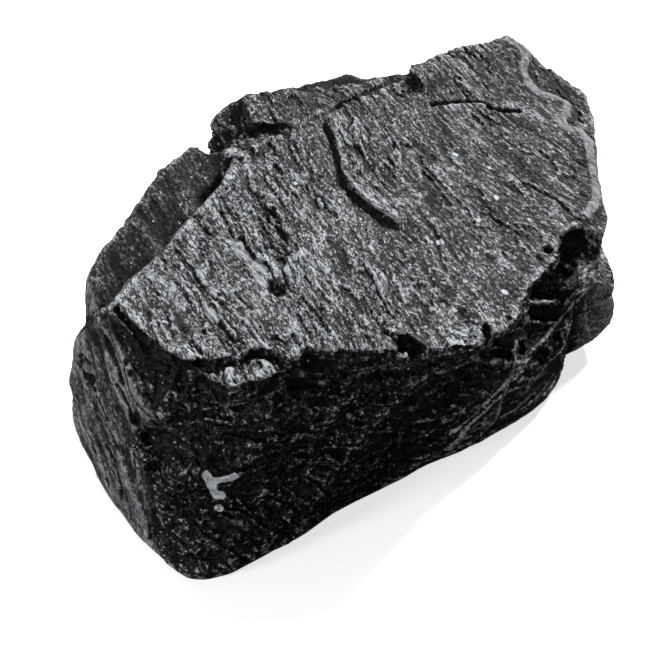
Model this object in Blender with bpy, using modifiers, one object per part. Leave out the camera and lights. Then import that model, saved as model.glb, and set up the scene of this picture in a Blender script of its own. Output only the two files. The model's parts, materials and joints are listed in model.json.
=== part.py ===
"""A lump of hard coal, broken out of its seam.

One natural piece, so one solid. It is built the way a quarryman would describe it: a few blocks, each the
convex hull of its own corners, are joined; shells and splinters are knocked off with cutters; the whole
is remeshed, weathered in low relief and thinned to a few thousand triangles. The lump lies on a flat
broken patch at z = 0, its long front face runs along X, and its front looks towards -Y.
"""

import math

import bmesh
import bpy
from mathutils import Euler, Vector, noise

MM = 0.001

# The upper bedding plane, in millimetres: its height over the origin, and its fall to the right and front.
BED_HEIGHT = 38.5
BED_FALL_RIGHT = 0.134
BED_FALL_FRONT = 0.14

# The grain of the coal runs across the lump, a little off its short axis.
GRAIN = Vector((-0.27, -0.96, 0.0)).normalized()
# At the ends the coal parts in thin leaves: the direction across them, and the steep one along them.
LEAVES = Vector((0.0, 0.88, -0.47))
DOWN_LEAVES = Vector((0.0, -0.47, -0.88))
# The blow that broke the front off: x and z of the spot that its rib marks run round.
FRONT_BLOW = (14, -34)

REMESH_VOXEL = 0.8
TRIANGLES = 9400
WELD = 0.03               # corners closer than this are one

# Depth of the relief in millimetres, each kind on its own sides of the lump.
SWELL = 0.8
GRAIN_RIDGE = 0.4
FRONT_RIB = 0.9
END_RIB = 0.6
BACK_RIB = 0.5
RELIEF_FADES_BELOW = 4    # the patch that it lies on stays flat


def on_bed(x, y, below):
    """A point in millimetres, a given depth under the upper bedding plane."""
    return (x, y, BED_HEIGHT - below - BED_FALL_RIGHT * x + BED_FALL_FRONT * y)


# Blocks of coal, by their corners in millimetres. Those of a bed hold x, y and the depth under the
# upper bedding plane; the others hold x, y and z.
TOP_LEFT = [(-44.3, 4.4, 0), (-42.7, -6, 0), (-40.6, -13.5, 0), (-36.3, -19.2, 0), (-24.5, -19.6, 0),
            (-19.5, -17.5, 0), (-10, 0, 0), (-17.5, 15.5, 0), (-39, 5.6, 0)]
TOP_LEFT_FOOT = [(-45.6, -10.5, 30.5), (-41.3, -17.3, 34), (-34, -20.6, 34.3), (-22, -20.6, 33),
                 (-18, -17, 32), (-8, 2, 31), (-16.5, 14.5, 32), (-44, 6, 33)]
TOP_RIGHT = [(-21, -18, 0), (-15.2, -23.3, 0), (-1.7, -29.5, 0), (6.5, -33.7, 0), (20.8, -30.6, 0),
             (47.2, -23.2, 0), (54.3, -13.6, 0), (62.4, -2.3, 0), (73.4, 9.4, 0), (71.8, 16, 0),
             (68.2, 27.4, 0), (43.5, 28.2, 0), (1.3, 25.2, 0), (-17.5, 15.5, 0)]
TOP_RIGHT_FOOT = [(-20, -18.5, 32.5), (-14, -23.6, 32.3), (-4, -27, 29.3), (7, -31, 27.5), (22, -30, 26),
                  (46, -22.3, 22), (62, -2, 19), (70, 10, 19), (66, 25, 21), (44, 27, 26), (1, 24, 31),
                  (-16, 14, 32)]
BODY = [(-45.2, 5.6, 42), (-45.5, -8.5, 30.5), (-40, -14, 28), (-28, -18, 28), (-14, -21, 26.5),
        (2, -26, 22.5), (14, -29, 18), (21, -28.6, 14), (42, -21, 20), (60, -2, 20), (69, 10, 19),
        (64, 25, 21), (40, 28, 27), (0, 24.5, 31), (-40, 10, 38),
        (-46, 14.5, 23), (-46, 14.5, 14), (-45.5, 12.6, 10), (-45.3, 9.2, 6), (-46, 11.8, 32),
        (-45, 9.7, 1.5), (-46.4, 1.4, 1.5), (-48.2, -6.7, 1.5), (-48.7, -11.2, 2), (-48.6, -16, 2),
        (-47.6, -20.3, 2), (-45.7, -22.8, 2), (-41.9, -24.4, 2), (-33, -24.8, 2),
        (3, -26.4, 2), (10.5, -27.7, 3), (17.6, -28.2, 2), (26, -28.2, 2), (30, -27.6, 2),
        (34, -26, 2), (37.4, -23.6, 2), (-46.5, -19, -1), (-44, -21, -1), (-40, -22.6, -1),
        (4, -24.2, -1), (26, -26, -1), (34, -24, -1), (-45, 2, -1), (-43.8, 9, -1),
        (60, 6, -1), (54, 23, -1), (28, 30, -1), (0, 30, -1), (-28, 21, -1)]
BACK_SHELF = [(-39.8, 13.8, 9), (-36.7, 19.8, 8.5), (-28.5, 24.3, 8), (-19.8, 29.4, 8), (-10.5, 34.8, 7.7),
              (-2, 37, 7.5), (20, 39, 8), (40, 36, 6), (50, 33, 5), (60, 20, 12), (0, 10, 12), (-35, 5, 14)]
BACK_SHELF_FOOT = [(-43.5, 14, 12), (-30, 26, 6), (-2, 37, 8), (30, 38, 10), (50, 31, 12),
                   (-28, 23, 2), (0, 33, 2), (30, 33, 2)]
BACK_LEDGE = [(4.4, 39.8, 35.8), (6, 40.2, 38.6), (9.4, 40.2, 39.4), (13, 40.2, 38.4), (18, 40, 36.2),
              (28, 40, 33.8), (39.8, 40, 31.6), (6, 41, 24), (18, 42.5, 20), (30, 41, 20), (6.5, 31, 38.4),
              (14, 27.5, 38.6), (24, 27, 37.4), (40, 28, 34.4), (14, 30, 14), (34, 30, 14)]
RIGHT_BLOCK = [(36, -20, 0), (46.8, -21.6, 1), (50.3, -22.8, 5), (50.8, -22.4, 13.5), (51.6, -19.4, 17.5),
               (40, -20, 16), (62.5, -2, 16), (40, 0, 18), (58, 4, 1), (36, 0, 1)]
# Two thin sheets of the next bed up are left lying on the top: one at the far end, one in the middle.
FAR_SHEET = [(42.3, 28.4, -0.9), (45, 29, -1.2), (52.3, 29.4, -1.2), (60, 29.2, -1.2), (67.2, 27, -0.9),
             (42.3, 19.6, -0.8), (51, 15.7, -0.5), (57, 10.5, 0.1), (69, 18, 0), (45, 27, 3),
             (64, 24, 3), (56, 14, 3)]
MIDDLE_SHEET = [(21.8, 27, -0.7), (19.8, 23.6, -1.1), (17.3, 19.5, -1.4), (13.5, 13.3, -1.8), (11.9, 8, -2),
                (11.7, 2.8, -2), (12.6, -3.4, -1.6), (14.6, -5.6, -0.8), (24, -8, 0.3), (46, 8, 0.4),
                (40, 25, 0.4), (20, 10, 3), (26, 0, 3)]
# Long splinters stand proud of the left end, running down and to the front.
CORNER_SPLINTER = [(-44.6, 4.5, 44), (-46.4, -1, 40), (-46.6, -9.3, 31.5), (-43, -12.5, 29.5),
                   (-42, -6, 38), (-45, 1, 34), (-40, 4, 40)]
LEFT_SPLINTER = [(-45.2, 9, 34), (-47.2, 3, 24), (-48.4, -6, 12), (-48.9, -13, 5), (-45, -4, 12),
                 (-46.2, 8, 18), (-44, 4, 30)]

# Shells struck off the block: centre, radii and turn (degrees about X, Y and Z) of each, in millimetres.
SHELLS = {
    "front, broad": ((-8, -33.5, 10), (34, 10, 13), (-8, -28, 0)),
    "under the ridge, left": ((-31, -24.5, 27.2), (13, 8.5, 4.6), (28, 7, -8)),
    "under the ridge, middle": ((-15, -27, 26), (11, 8, 4.8), (28, -6, -16)),
    "under the ridge, right": ((1, -33, 22.5), (13, 8.5, 4.2), (25, 10, -14)),
    "corner, high": ((-46.5, -12, 24), (4.0, 7.4, 4.4), (0, 10, 25)),
    "corner, middle": ((-48.6, -16.5, 16.5), (3.8, 5.6, 3.4), (0, 10, 35)),
    "corner, low": ((-48.8, -19.5, 10), (3.4, 4.4, 3.2), (0, 0, 40)),
    "right edge, outer": ((43, -23, 26.4), (4.6, 4.6, 4.2), (25, -20, 25)),
    "right edge, middle": ((36.6, -25.8, 22.5), (4.8, 5.4, 3.8), (10, -15, 20)),
    "right edge, inner": ((28.5, -29.5, 19.6), (6.6, 6.2, 4.2), (0, -28, 15)),
    "right edge, end": ((19.5, -34.5, 27.6), (4.4, 5.6, 3.2), (10, 0, 10)),
    "right face, low": ((34, -32, 9.5), (6.5, 6.2, 5), (0, -35, 20)),
    "front edge, mid": ((-4.6, -31.5, 35), (3.4, 6.5, 4.0), (30, 0, -20)),
    "front edge, right": ((10.8, -36, 34.5), (5, 5.2, 4), (20, 0, 5)),
    "back ledge, hollow": ((3.2, 37.0, 34), (3.8, 3.2, 3.4), (0, 0, 20)),
    "back shelf, left": ((-26, 26.8, 42), (7.5, 5, 4.6), (20, 0, 35)),
    "back shelf, end": ((-40.5, 12.5, 41), (5.5, 5.5, 5), (0, 0, 20)),
    "back face, left": ((-24, 35, 18), (17, 9, 11), (-12, 14, 28)),
    "back face, middle": ((10, 46, 12), (20, 12, 10), (0, -12, 4)),
    "back face, right": ((46, 42, 22), (15, 12, 8), (10, 20, -24)),
    "right end, high": ((78, 4, 20), (10, 15, 9), (0, 10, 8)),
    "right end, low": ((70, 16, 4), (12, 16, 8), (0, -8, -12)),
    "top, by the grain": ((-13, 2, 43.8), (3.2, 7, 3.4), (0, 0, -16)),
    "middle sheet, foot": ((9.4, 3.2, 39.1), (3.6, 9, 2.5), (8, 6, 8)),
    "middle sheet, upper foot": ((14.4, 18.5, 41.3), (2.6, 9, 2.6), (8, 6, -24)),
}
# Wedges prised out of the top, by their corners: x, y and the depth under the upper bedding plane.
NOTCHES = {
    "front plate, left": [(-40, -15.5, 1.2), (-37.9, -13.2, 1.3), (-30.6, -11.9, 1.4), (-20.1, -16.5, 1.9),
                          (-16, -30, 2.4), (-44, -30, 2), (-40, -16.2, -4), (-37.5, -13.8, -4),
                          (-30.6, -12.4, -4), (-20.1, -17, -4), (-16, -30, -4), (-44, -30, -4)],
    "front plate, right": [(-14.5, -22, 1.6), (-11.6, -20.4, 1.7), (-6.5, -23.5, 1.8), (-7, -34, 2.5),
                           (-17, -34, 2.5), (-14.5, -22.5, -4), (-11.6, -20.9, -4), (-6.5, -24, -4),
                           (-7, -34, -4), (-17, -34, -4)],
    "right edge, broken back": [(21, -30.6, -4), (35.5, -22.4, -4), (42.4, -20.7, -4), (46.9, -23.2, -4),
                                (50, -32, -4), (20, -40, -4), (25, -30.5, 12), (35.5, -26, 11),
                                (42, -24.3, 10), (46.5, -24.5, 10), (50, -32, 10), (24, -40, 12)],
    "far sheet, broken end": [(40, 33, 1.2), (43.5, 31, 1.4), (45.8, 22.5, 1.2), (43.2, 19, 1.6),
                              (41.2, 20.5, 1.2), (40, 33, -6), (44.7, 32, -6), (46.6, 22.5, -6),
                              (43.5, 18.6, -6), (40.9, 20.5, -6)],
}


def link(obj, collection):
    collection.objects.link(obj)
    return obj


def as_helper(obj):
    obj.hide_render = True
    obj.display_type = "WIRE"
    return obj


def hull(name, corners, collection):
    """The convex hull of corners in millimetres, as a mesh object in metres."""
    shape = bmesh.new()
    for corner in corners:
        shape.verts.new(Vector(corner) * MM)
    made = bmesh.ops.convex_hull(shape, input=shape.verts)
    spare = {g for g in made["geom_interior"] + made["geom_unused"] if isinstance(g, bmesh.types.BMVert)}
    bmesh.ops.delete(shape, geom=list(spare), context="VERTS")
    mesh = bpy.data.meshes.new(name)
    shape.to_mesh(mesh)
    shape.free()
    return link(bpy.data.objects.new(name, mesh), collection)


def struck_shell(name, centre, radii, turn, collection):
    """The hollow of a conchoidal break, as an ellipsoid cutter."""
    shape = bmesh.new()
    bmesh.ops.create_icosphere(shape, subdivisions=3, radius=1.0)
    bmesh.ops.scale(shape, vec=Vector(radii) * MM, verts=shape.verts)
    turned = Euler([math.radians(angle) for angle in turn]).to_matrix()
    bmesh.ops.rotate(shape, matrix=turned, verts=shape.verts)
    bmesh.ops.translate(shape, vec=Vector(centre) * MM, verts=shape.verts)
    mesh = bpy.data.meshes.new(name)
    shape.to_mesh(mesh)
    shape.free()
    return link(bpy.data.objects.new(name, mesh), collection)


def add_boolean(obj, other, operation):
    step = obj.modifiers.new(other.name, "BOOLEAN")
    step.operation = operation
    step.object = as_helper(other)


def evaluated_mesh(obj):
    bpy.context.view_layer.update()
    graph = bpy.context.evaluated_depsgraph_get()
    return bpy.data.meshes.new_from_object(obj.evaluated_get(graph))


def make_blocks(helpers):
    """Joins the blocks, and returns the rough lump as one object."""
    rough = hull("top, left", [on_bed(*p) for p in TOP_LEFT] + TOP_LEFT_FOOT, helpers)
    blocks = {
        "top, right": [on_bed(*p) for p in TOP_RIGHT] + TOP_RIGHT_FOOT,
        "body": BODY,
        "back shelf": [on_bed(*p) for p in BACK_SHELF] + BACK_SHELF_FOOT,
        "back ledge": BACK_LEDGE,
        "right block": RIGHT_BLOCK,
        "far sheet": [on_bed(*p) for p in FAR_SHEET],
        "middle sheet": [on_bed(*p) for p in MIDDLE_SHEET],
        "corner splinter": CORNER_SPLINTER,
        "left splinter": LEFT_SPLINTER,
    }
    for name, corners in blocks.items():
        add_boolean(rough, hull(name, corners, helpers), "UNION")
    return as_helper(rough)


def strike_off(rough, helpers):
    """Knocks the shells and the notches off the rough lump."""
    for name, (centre, radii, turn) in SHELLS.items():
        add_boolean(rough, struck_shell(name, centre, radii, turn, helpers), "DIFFERENCE")
    for name, corners in NOTCHES.items():
        add_boolean(rough, hull(name, [on_bed(*p) for p in corners], helpers), "DIFFERENCE")


def swell(point, size, octaves):
    """Smooth noise around zero at a point in millimetres, with lumps of about the given size."""
    return noise.fractal(point / size, 0.9, 2.1, octaves)


def weather(mesh):
    """Moves each vertex along its normal: broad swells everywhere, ribs at the sides, grain on the top."""
    across_grain = Vector((-GRAIN.y, GRAIN.x, 0))
    moved = []
    for vertex in mesh.vertices:
        point, normal = vertex.co / MM, vertex.normal
        along, across = point.dot(GRAIN), point.dot(across_grain)
        from_blow = math.hypot(point.x - FRONT_BLOW[0], point.z - FRONT_BLOW[1])
        up = max(0.0, normal.z) ** 4
        front = max(0.0, -normal.y) ** 4
        ends = abs(normal.x) ** 4
        rise = SWELL * swell(point, 13, 3) * (1 - 0.6 * up)
        rise += GRAIN_RIDGE * swell(Vector((along / 17, across / 2.4, 0)), 1, 2) * up
        rise += FRONT_RIB * swell(Vector((from_blow / 3.2, point.x / 30, 0)), 1, 2) * front
        rise += END_RIB * swell(Vector((point.dot(LEAVES) / 2.6, point.dot(DOWN_LEAVES) / 18, 0)), 1, 2) * ends
        rise += BACK_RIB * swell(Vector((point.x / 14, 0, point.z / 3)), 1, 2) * max(0.0, normal.y)
        fade = min(1.0, max(0.0, point.z / RELIEF_FADES_BELOW))
        moved.append(vertex.co + normal * rise * fade * MM)
    for vertex, place in zip(mesh.vertices, moved):
        vertex.co = place


def remeshed(obj, helpers):
    """One even skin over the cut blocks."""
    skin = link(bpy.data.objects.new("even skin", evaluated_mesh(obj)), helpers)
    step = skin.modifiers.new("even skin", "REMESH")
    step.mode = "VOXEL"
    step.voxel_size = REMESH_VOXEL * MM
    return as_helper(skin)


def thinned(mesh, helpers):
    """The same surface in few triangles, most of them where it bends."""
    dense = link(bpy.data.objects.new("weathered", mesh), helpers)
    step = dense.modifiers.new("thin", "DECIMATE")
    step.ratio = TRIANGLES / sum(len(face.vertices) - 2 for face in mesh.polygons)
    return evaluated_mesh(as_helper(dense))


def saw_base(mesh):
    """Cuts the lump off flat at z = 0 and closes the cut: the patch that it lies on."""
    shape = bmesh.new()
    shape.from_mesh(mesh)
    bmesh.ops.triangulate(shape, faces=shape.faces)
    everything = shape.verts[:] + shape.edges[:] + shape.faces[:]
    cut = bmesh.ops.bisect_plane(shape, geom=everything, dist=WELD * MM, plane_co=(0, 0, 0),
                                 plane_no=(0, 0, 1), clear_inner=True)
    rim = [g for g in cut["geom_cut"] if isinstance(g, bmesh.types.BMEdge)]
    patch = bmesh.ops.holes_fill(shape, edges=rim)["faces"]
    for vertex in {corner for face in patch for corner in face.verts}:
        vertex.co.z = 0
    bmesh.ops.triangulate(shape, faces=[face for face in shape.faces if face not in patch])
    bmesh.ops.remove_doubles(shape, verts=shape.verts, dist=WELD * MM)
    bmesh.ops.recalc_face_normals(shape, faces=shape.faces)
    shape.to_mesh(mesh)
    shape.free()


def centre(mesh):
    """Slides the lump level until the origin is under the middle of its box."""
    for axis in (0, 1):
        places = [vertex.co[axis] for vertex in mesh.vertices]
        middle = (min(places) + max(places)) / 2
        for vertex in mesh.vertices:
            vertex.co[axis] -= middle


def coal_material():
    material = bpy.data.materials.new("hard coal")
    material.use_nodes = True
    shader = material.node_tree.nodes["Principled BSDF"]
    shader.inputs["Base Color"].default_value = (0.035, 0.036, 0.038, 1)
    shader.inputs["Roughness"].default_value = 0.42
    shader.inputs["Metallic"].default_value = 0.0
    return material


def main():
    for obj in list(bpy.data.objects):
        bpy.data.objects.remove(obj)
    scene = bpy.context.scene
    parts = bpy.data.collections.new("coal lump")
    helpers = bpy.data.collections.new("helpers")
    scene.collection.children.link(parts)
    scene.collection.children.link(helpers)
    helpers.hide_render = True

    rough = make_blocks(helpers)
    strike_off(rough, helpers)
    skin = evaluated_mesh(remeshed(rough, helpers))
    weather(skin)
    mesh = thinned(skin, helpers)
    saw_base(mesh)
    centre(mesh)
    mesh.materials.append(coal_material())
    link(bpy.data.objects.new("coal_lump", mesh), parts)


if __name__ == "__main__":
    main()
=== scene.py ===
# %% [markdown]
# # A lump of house coal
# Coal is a rock that lies in thin beds. A lump broken from its seam shows two kinds of face: the dull,
# streaky skin where two beds parted, and the black, glassy breaks that cut across them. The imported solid
# already has the lump's main forms. This script copies that solid, breaks finer chips out of it, carves the
# relief of each kind of face and gives each its own finish. Everything is in metres, and the solid says
# where everything goes.

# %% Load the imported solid
import json
import math

import bmesh
import bpy
import numpy as np
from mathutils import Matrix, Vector

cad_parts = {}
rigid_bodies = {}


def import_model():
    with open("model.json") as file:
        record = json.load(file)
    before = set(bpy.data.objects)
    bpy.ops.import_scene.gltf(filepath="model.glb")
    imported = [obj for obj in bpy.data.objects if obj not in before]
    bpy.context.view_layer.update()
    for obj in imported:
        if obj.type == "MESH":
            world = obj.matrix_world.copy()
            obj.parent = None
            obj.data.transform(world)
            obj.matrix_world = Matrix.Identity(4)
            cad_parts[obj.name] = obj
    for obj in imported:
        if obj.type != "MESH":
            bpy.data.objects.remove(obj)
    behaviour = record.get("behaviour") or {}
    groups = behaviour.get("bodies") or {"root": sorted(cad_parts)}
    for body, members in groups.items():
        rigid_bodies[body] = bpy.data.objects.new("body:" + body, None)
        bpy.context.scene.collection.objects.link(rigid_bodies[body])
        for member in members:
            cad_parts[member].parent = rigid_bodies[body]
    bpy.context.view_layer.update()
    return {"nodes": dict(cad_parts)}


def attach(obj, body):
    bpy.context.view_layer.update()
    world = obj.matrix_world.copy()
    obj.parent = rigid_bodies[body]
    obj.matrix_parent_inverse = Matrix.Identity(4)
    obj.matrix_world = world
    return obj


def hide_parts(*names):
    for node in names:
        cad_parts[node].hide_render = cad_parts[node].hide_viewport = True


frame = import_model()

# %% [markdown]
# ## Where the camera stands
# A long lens far away keeps the lump's edges nearly parallel, as in a catalogue. The lens is aimed
# with to_track_quat, which turns -Z, the way a camera looks, towards the target.

# %% Camera
MM = 0.001
MARK = Vector((-12.006, -4.663, 0.0))  # the mark that all places are measured from, in the part's own frame
CAMERA_TURN = math.radians(-40)
CAMERA_RISE = math.radians(42)
CAMERA_AWAY = 500
CAMERA_AIM = (0, 0, 18)
CAMERA_LENS = 155
CAMERA_CLIP = 0.01


def place(x, y, z):
    """A place on the lump in metres, from its place in millimetres from the mark."""
    return (Vector((x, y, z)) + MARK) * MM


def add(name, data):
    """A new object at the origin, in the scene."""
    thing = bpy.data.objects.new(name, data)
    bpy.context.scene.collection.objects.link(thing)
    return thing


camera = add("camera", bpy.data.cameras.new("camera"))
camera.data.lens = CAMERA_LENS
camera.data.clip_start = CAMERA_CLIP
away = Vector((
    math.sin(CAMERA_TURN) * math.cos(CAMERA_RISE),
    -math.cos(CAMERA_TURN) * math.cos(CAMERA_RISE),
    math.sin(CAMERA_RISE),
))
camera.location = place(*CAMERA_AIM) + away * CAMERA_AWAY * MM
camera.rotation_euler = (-away).to_track_quat("-Z", "Y").to_euler()
bpy.context.scene.camera = camera
print("camera at", [round(v, 3) for v in camera.location])

# %% [markdown]
# ## Floor and lights
# Black coal only reads when light rakes over it. The key is a soft box behind the lump's right end, so that
# every streak on the top throws a small shadow. A second box stands beyond the left end, a wide weak one
# hangs high over the lump, and a small weak one faces the front, which stays nearly black. The floor looks
# pale to the camera but gives little light back, as if black card lay round the lump: Light Path tells the
# camera's rays from the others.

# %% Lights
BOXES = {  # name: direction from the lump, distance in metres, width in metres, power in watts
    "key": ((0.80, 0.22, 0.60), 2.5, 0.40, 122.0),
    "left": ((-1.0, 0.10, 0.30), 1.2, 0.30, 8.0),
    "over": ((-0.1, 0.5, 1.0), 1.5, 0.8, 3.0),
    "front": ((-0.55, -0.75, 0.55), 1.3, 0.20, 4.0),
}
BOX_AIM = Vector((0, 0, 0.02))
SKY = (0.9, 0.95, 1.0, 1.0)
SKY_STRENGTH = 0.015


def soft_box(name, direction, distance, width, power):
    """A square soft box that faces the lump."""
    box = add(name, bpy.data.lights.new(name, "AREA"))
    box.data.size = width
    box.data.energy = power
    towards = Vector(direction).normalized()
    box.location = BOX_AIM + towards * distance
    box.rotation_euler = (-towards).to_track_quat("-Z", "Y").to_euler()


for name, (direction, distance, width, power) in BOXES.items():
    soft_box(name, direction, distance, width, power)

world = bpy.data.worlds.new("studio")
world.use_nodes = True
world.node_tree.nodes["Background"].inputs["Color"].default_value = SKY
world.node_tree.nodes["Background"].inputs["Strength"].default_value = SKY_STRENGTH
bpy.context.scene.world = world
bpy.context.scene.view_settings.view_transform = "Standard"
print("soft boxes:", ", ".join(BOXES))

# %% Floor
FLOOR_SIZE = 8.0
FLOOR_SEEN = 0.88
FLOOR_BOUNCE = 0.06
FLOOR_GLOW = 0.62
PAPER_ROUGHNESS = 0.9
PAPER_SPECULAR = 0.1

half = FLOOR_SIZE / 2
floor_corners = [(-half, -half, 0), (half, -half, 0), (half, half, 0), (-half, half, 0)]
floor_mesh = bpy.data.meshes.new("floor")
floor_mesh.from_pydata(floor_corners, [], [(0, 1, 2, 3)])
floor = add("floor", floor_mesh)

paper = bpy.data.materials.new("floor_paper")
paper.use_nodes = True
nodes, wires = paper.node_tree.nodes, paper.node_tree.links
paper_shader = nodes["Principled BSDF"]
paper_shader.inputs["Roughness"].default_value = PAPER_ROUGHNESS
paper_shader.inputs["Specular IOR Level"].default_value = PAPER_SPECULAR
paper_shader.inputs["Emission Color"].default_value = (1, 1, 1, 1)
rays = nodes.new("ShaderNodeLightPath")
seen_or_not = nodes.new("ShaderNodeMix")
seen_or_not.data_type = "RGBA"
seen_or_not.inputs["A"].default_value = (FLOOR_BOUNCE, FLOOR_BOUNCE, FLOOR_BOUNCE, 1)
seen_or_not.inputs["B"].default_value = (FLOOR_SEEN, FLOOR_SEEN, FLOOR_SEEN, 1)
wires.new(rays.outputs["Is Camera Ray"], seen_or_not.inputs["Factor"])
wires.new(seen_or_not.outputs["Result"], paper_shader.inputs["Base Color"])
glow = nodes.new("ShaderNodeMath")
glow.operation = "MULTIPLY"
glow.inputs[1].default_value = FLOOR_GLOW
wires.new(rays.outputs["Is Camera Ray"], glow.inputs[0])
wires.new(glow.outputs[0], paper_shader.inputs["Emission Strength"])
floor.data.materials.append(paper)
print("floor:", FLOOR_SIZE, "m across")

# %% [markdown]
# ## A copy of the solid
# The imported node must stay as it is, so the work is done on a copy. Its triangles arrive loose, so the
# doubles are merged first: Boolean and Remesh both need one closed skin.

# %% Copy the solid
SAME_CORNER = 1e-6

lump_mesh = frame["nodes"]["coal_lump"].data.copy()
lump_mesh.name = "coal_lump_surface"
lump_mesh.materials.clear()
welder = bmesh.new()
welder.from_mesh(lump_mesh)
bmesh.ops.remove_doubles(welder, verts=welder.verts, dist=SAME_CORNER)
welder.to_mesh(lump_mesh)
print("closed copy:", len(welder.verts), "corners, open edges", sum(not e.is_manifold for e in welder.edges))
welder.free()
lump = add("coal_lump_surface", lump_mesh)

# %% [markdown]
# ## Chips struck out of the edges
# Coal chips along flat cleats, so a chip leaves a small hole with a flat floor. Each cutter is a block
# whose one end is that floor and whose sides run off towards the far point that the blows came from. One
# Boolean takes them all away. Each floor is also given painted shade, most where it lies deep in a hole;
# one band gets a little painted light.

# %% Where the chips are
BLOW_FROM = np.array([-238.9, -284.6, 352.6])
MOUTH = 27.0  # how far out of its floor each cutter reaches

CHIPS = {  # name: painted shade of the floor (painted light above nought), corners of the floor in millimetres from the mark
    "right hollow, top": (-0.5, [
        (41.8, -16, 25.3), (43.1, -16.1, 26.8), (44.2, -16.7, 27.5), (45.4, -17.8, 27.6),
        (45.5, -18.8, 26.3), (46.1, -20.3, 25.3), (47, -22.2, 23.9), (45.9, -21.9, 22.9),
        (44.7, -21.3, 22.2), (43.7, -20.9, 21.3), (42.8, -20.2, 21.1), (41.4, -18.8, 21.1),
        (40.6, -17.5, 21.7)]),
    "right hollow, middle": (-0.3, [
        (38.8, -19, 23.7), (39.8, -20.4, 22.6), (41.9, -21.9, 22.2), (41.8, -22.7, 20.9),
        (41.1, -23.3, 18.8), (39, -23, 17.1), (35.2, -20.2, 17.4), (32.5, -18.3, 17.6), (33.1, -17.8, 19.3),
        (33.9, -17.6, 20.5), (35.2, -18.4, 20.5), (36.6, -18.6, 21.8), (37.7, -18.7, 23.1)]),
    "right hollow, low": (-0.35, [
        (30.3, -20, 19.4), (37.5, -24, 17.9), (36.8, -23.9, 16.3), (35.3, -23.4, 14.7), (33.2, -22.3, 14.9),
        (30.9, -21, 15.6), (30.2, -20.3, 17.4)]),
    "right band": (0.1, [
        (28.7, -23.1, 17.8), (34.3, -24.2, 15.5), (31.2, -24.9, 14.6), (26.5, -25.5, 14),
        (26.7, -24.6, 15.5), (27, -23.7, 17)]),
    "right pit": (-0.6, [
        (25.4, -23.5, 15.7), (25.8, -23.7, 15.8), (25.9, -24.7, 15), (25.4, -25.4, 14.1),
        (24.5, -25.4, 13.4), (24.4, -24.7, 13.9)]),
    "under the sheet": (-0.2, [
        (18.2, -23.8, 20.6), (20, -24.7, 21.4), (23, -26.7, 21.2), (22, -26.5, 19.3), (21.1, -26.3, 18),
        (19.4, -25, 18.8)]),
    "under the sheet, pit": (-0.6, [
        (18.1, -23.1, 16.8), (20.3, -24.1, 17.4), (21.5, -25.7, 17), (20.8, -26.6, 15.7),
        (19.4, -25.1, 16)]),
    "sheet, slot": (-0.6, [
        (11.5, -28.3, 30.6), (12.6, -28.3, 31.4), (12.1, -29.4, 30.1), (11.7, -30.1, 29.2),
        (10.9, -29.6, 29.1)]),
    "sheet, nick": (-0.6, [
        (33.9, -20.1, 30.2), (34.8, -20.9, 30.2), (34.2, -21.6, 29.1), (33.6, -21.6, 28.7)]),
    "sheet, small nick": (-0.4, [
        (15.2, -29.8, 31.1), (16.2, -30.5, 31.2), (16.1, -30.9, 30.7), (15.3, -30.3, 30.7)]),
    "low right, first": (-0.3, [
        (34.6, -22.5, 11.6), (36.2, -23.2, 12.4), (35.6, -24.6, 10.4), (34.4, -23.3, 10.6)]),
    "low right, second": (-0.3, [
        (29.4, -23.6, 10.7), (31.1, -24, 11.7), (31.4, -25.3, 10.7), (30.9, -26.5, 8.9), (29.4, -25.5, 8.6),
        (29.1, -24.5, 9.5)]),
    "low right, third": (-0.3, [
        (23.5, -27, 12.2), (25.5, -28.8, 12), (26.3, -29.8, 11.6), (24.4, -29, 10.7), (23.2, -27.6, 11.1)]),
    "notch, left": (-0.6, [
        (-4.1, -23.1, 34.1), (-3.5, -23.9, 34.9), (-3.2, -24.6, 34.4), (-3.6, -25.5, 31.5),
        (-4.2, -25.4, 29.7), (-4.3, -24.2, 31.5)]),
    "notch, right": (-0.2, [
        (-3.4, -24.8, 35), (-2.7, -25.3, 35), (-1, -27.5, 32.7), (-0.6, -28.1, 31.6), (-1.8, -27.3, 31.3),
        (-2.8, -26.8, 30.3), (-3.8, -26, 30.4)]),
    "oval": (-0.2, [
        (-9.2, -21.8, 34.7), (-7.1, -23.4, 35.2), (-5.5, -24.7, 35.3), (-5.7, -24.9, 34.4),
        (-7.2, -23.9, 33.9)]),
    "under the tongue": (-0.5, [
        (-22.6, -15.4, 29.4), (-20.9, -16.2, 29.9), (-19.1, -17.5, 29.3), (-17.5, -19, 27.5),
        (-19.5, -17.9, 26.8), (-22.2, -16.2, 27.2)]),
    "corner, hole": (-0.5, [
        (-45, -4.8, 23.3), (-43.6, -6, 23), (-43.4, -6.5, 21.7), (-43.9, -6.5, 20.1), (-44.9, -5.6, 20.3)]),
    "corner, slot": (-0.5, [
        (-45.6, -3.6, 25.9), (-44.5, -4.1, 27.6), (-44.7, -4.8, 24.5), (-45.3, -4.4, 23.9)]),
    "corner, low": (-0.4, [
        (-45.7, -8.5, 19.4), (-44.1, -9.7, 19.6), (-44.2, -10.1, 18), (-45.4, -9.4, 16.8),
        (-46.4, -8.2, 18.4)]),
    "behind the fin": (-0.5, [
        (-45.7, -3.2, 36.6), (-44.7, -4.1, 36.7), (-45.1, -4.4, 35.3), (-45.5, -3.9, 35.6)]),
    "left end, hole": (-0.5, [
        (-45.5, 9.3, 26.9), (-44.4, 7.5, 26.8), (-45.4, 7.9, 24.8), (-45.6, 8.7, 25.5)]),
}
print("chips to strike:", len(CHIPS))


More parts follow.
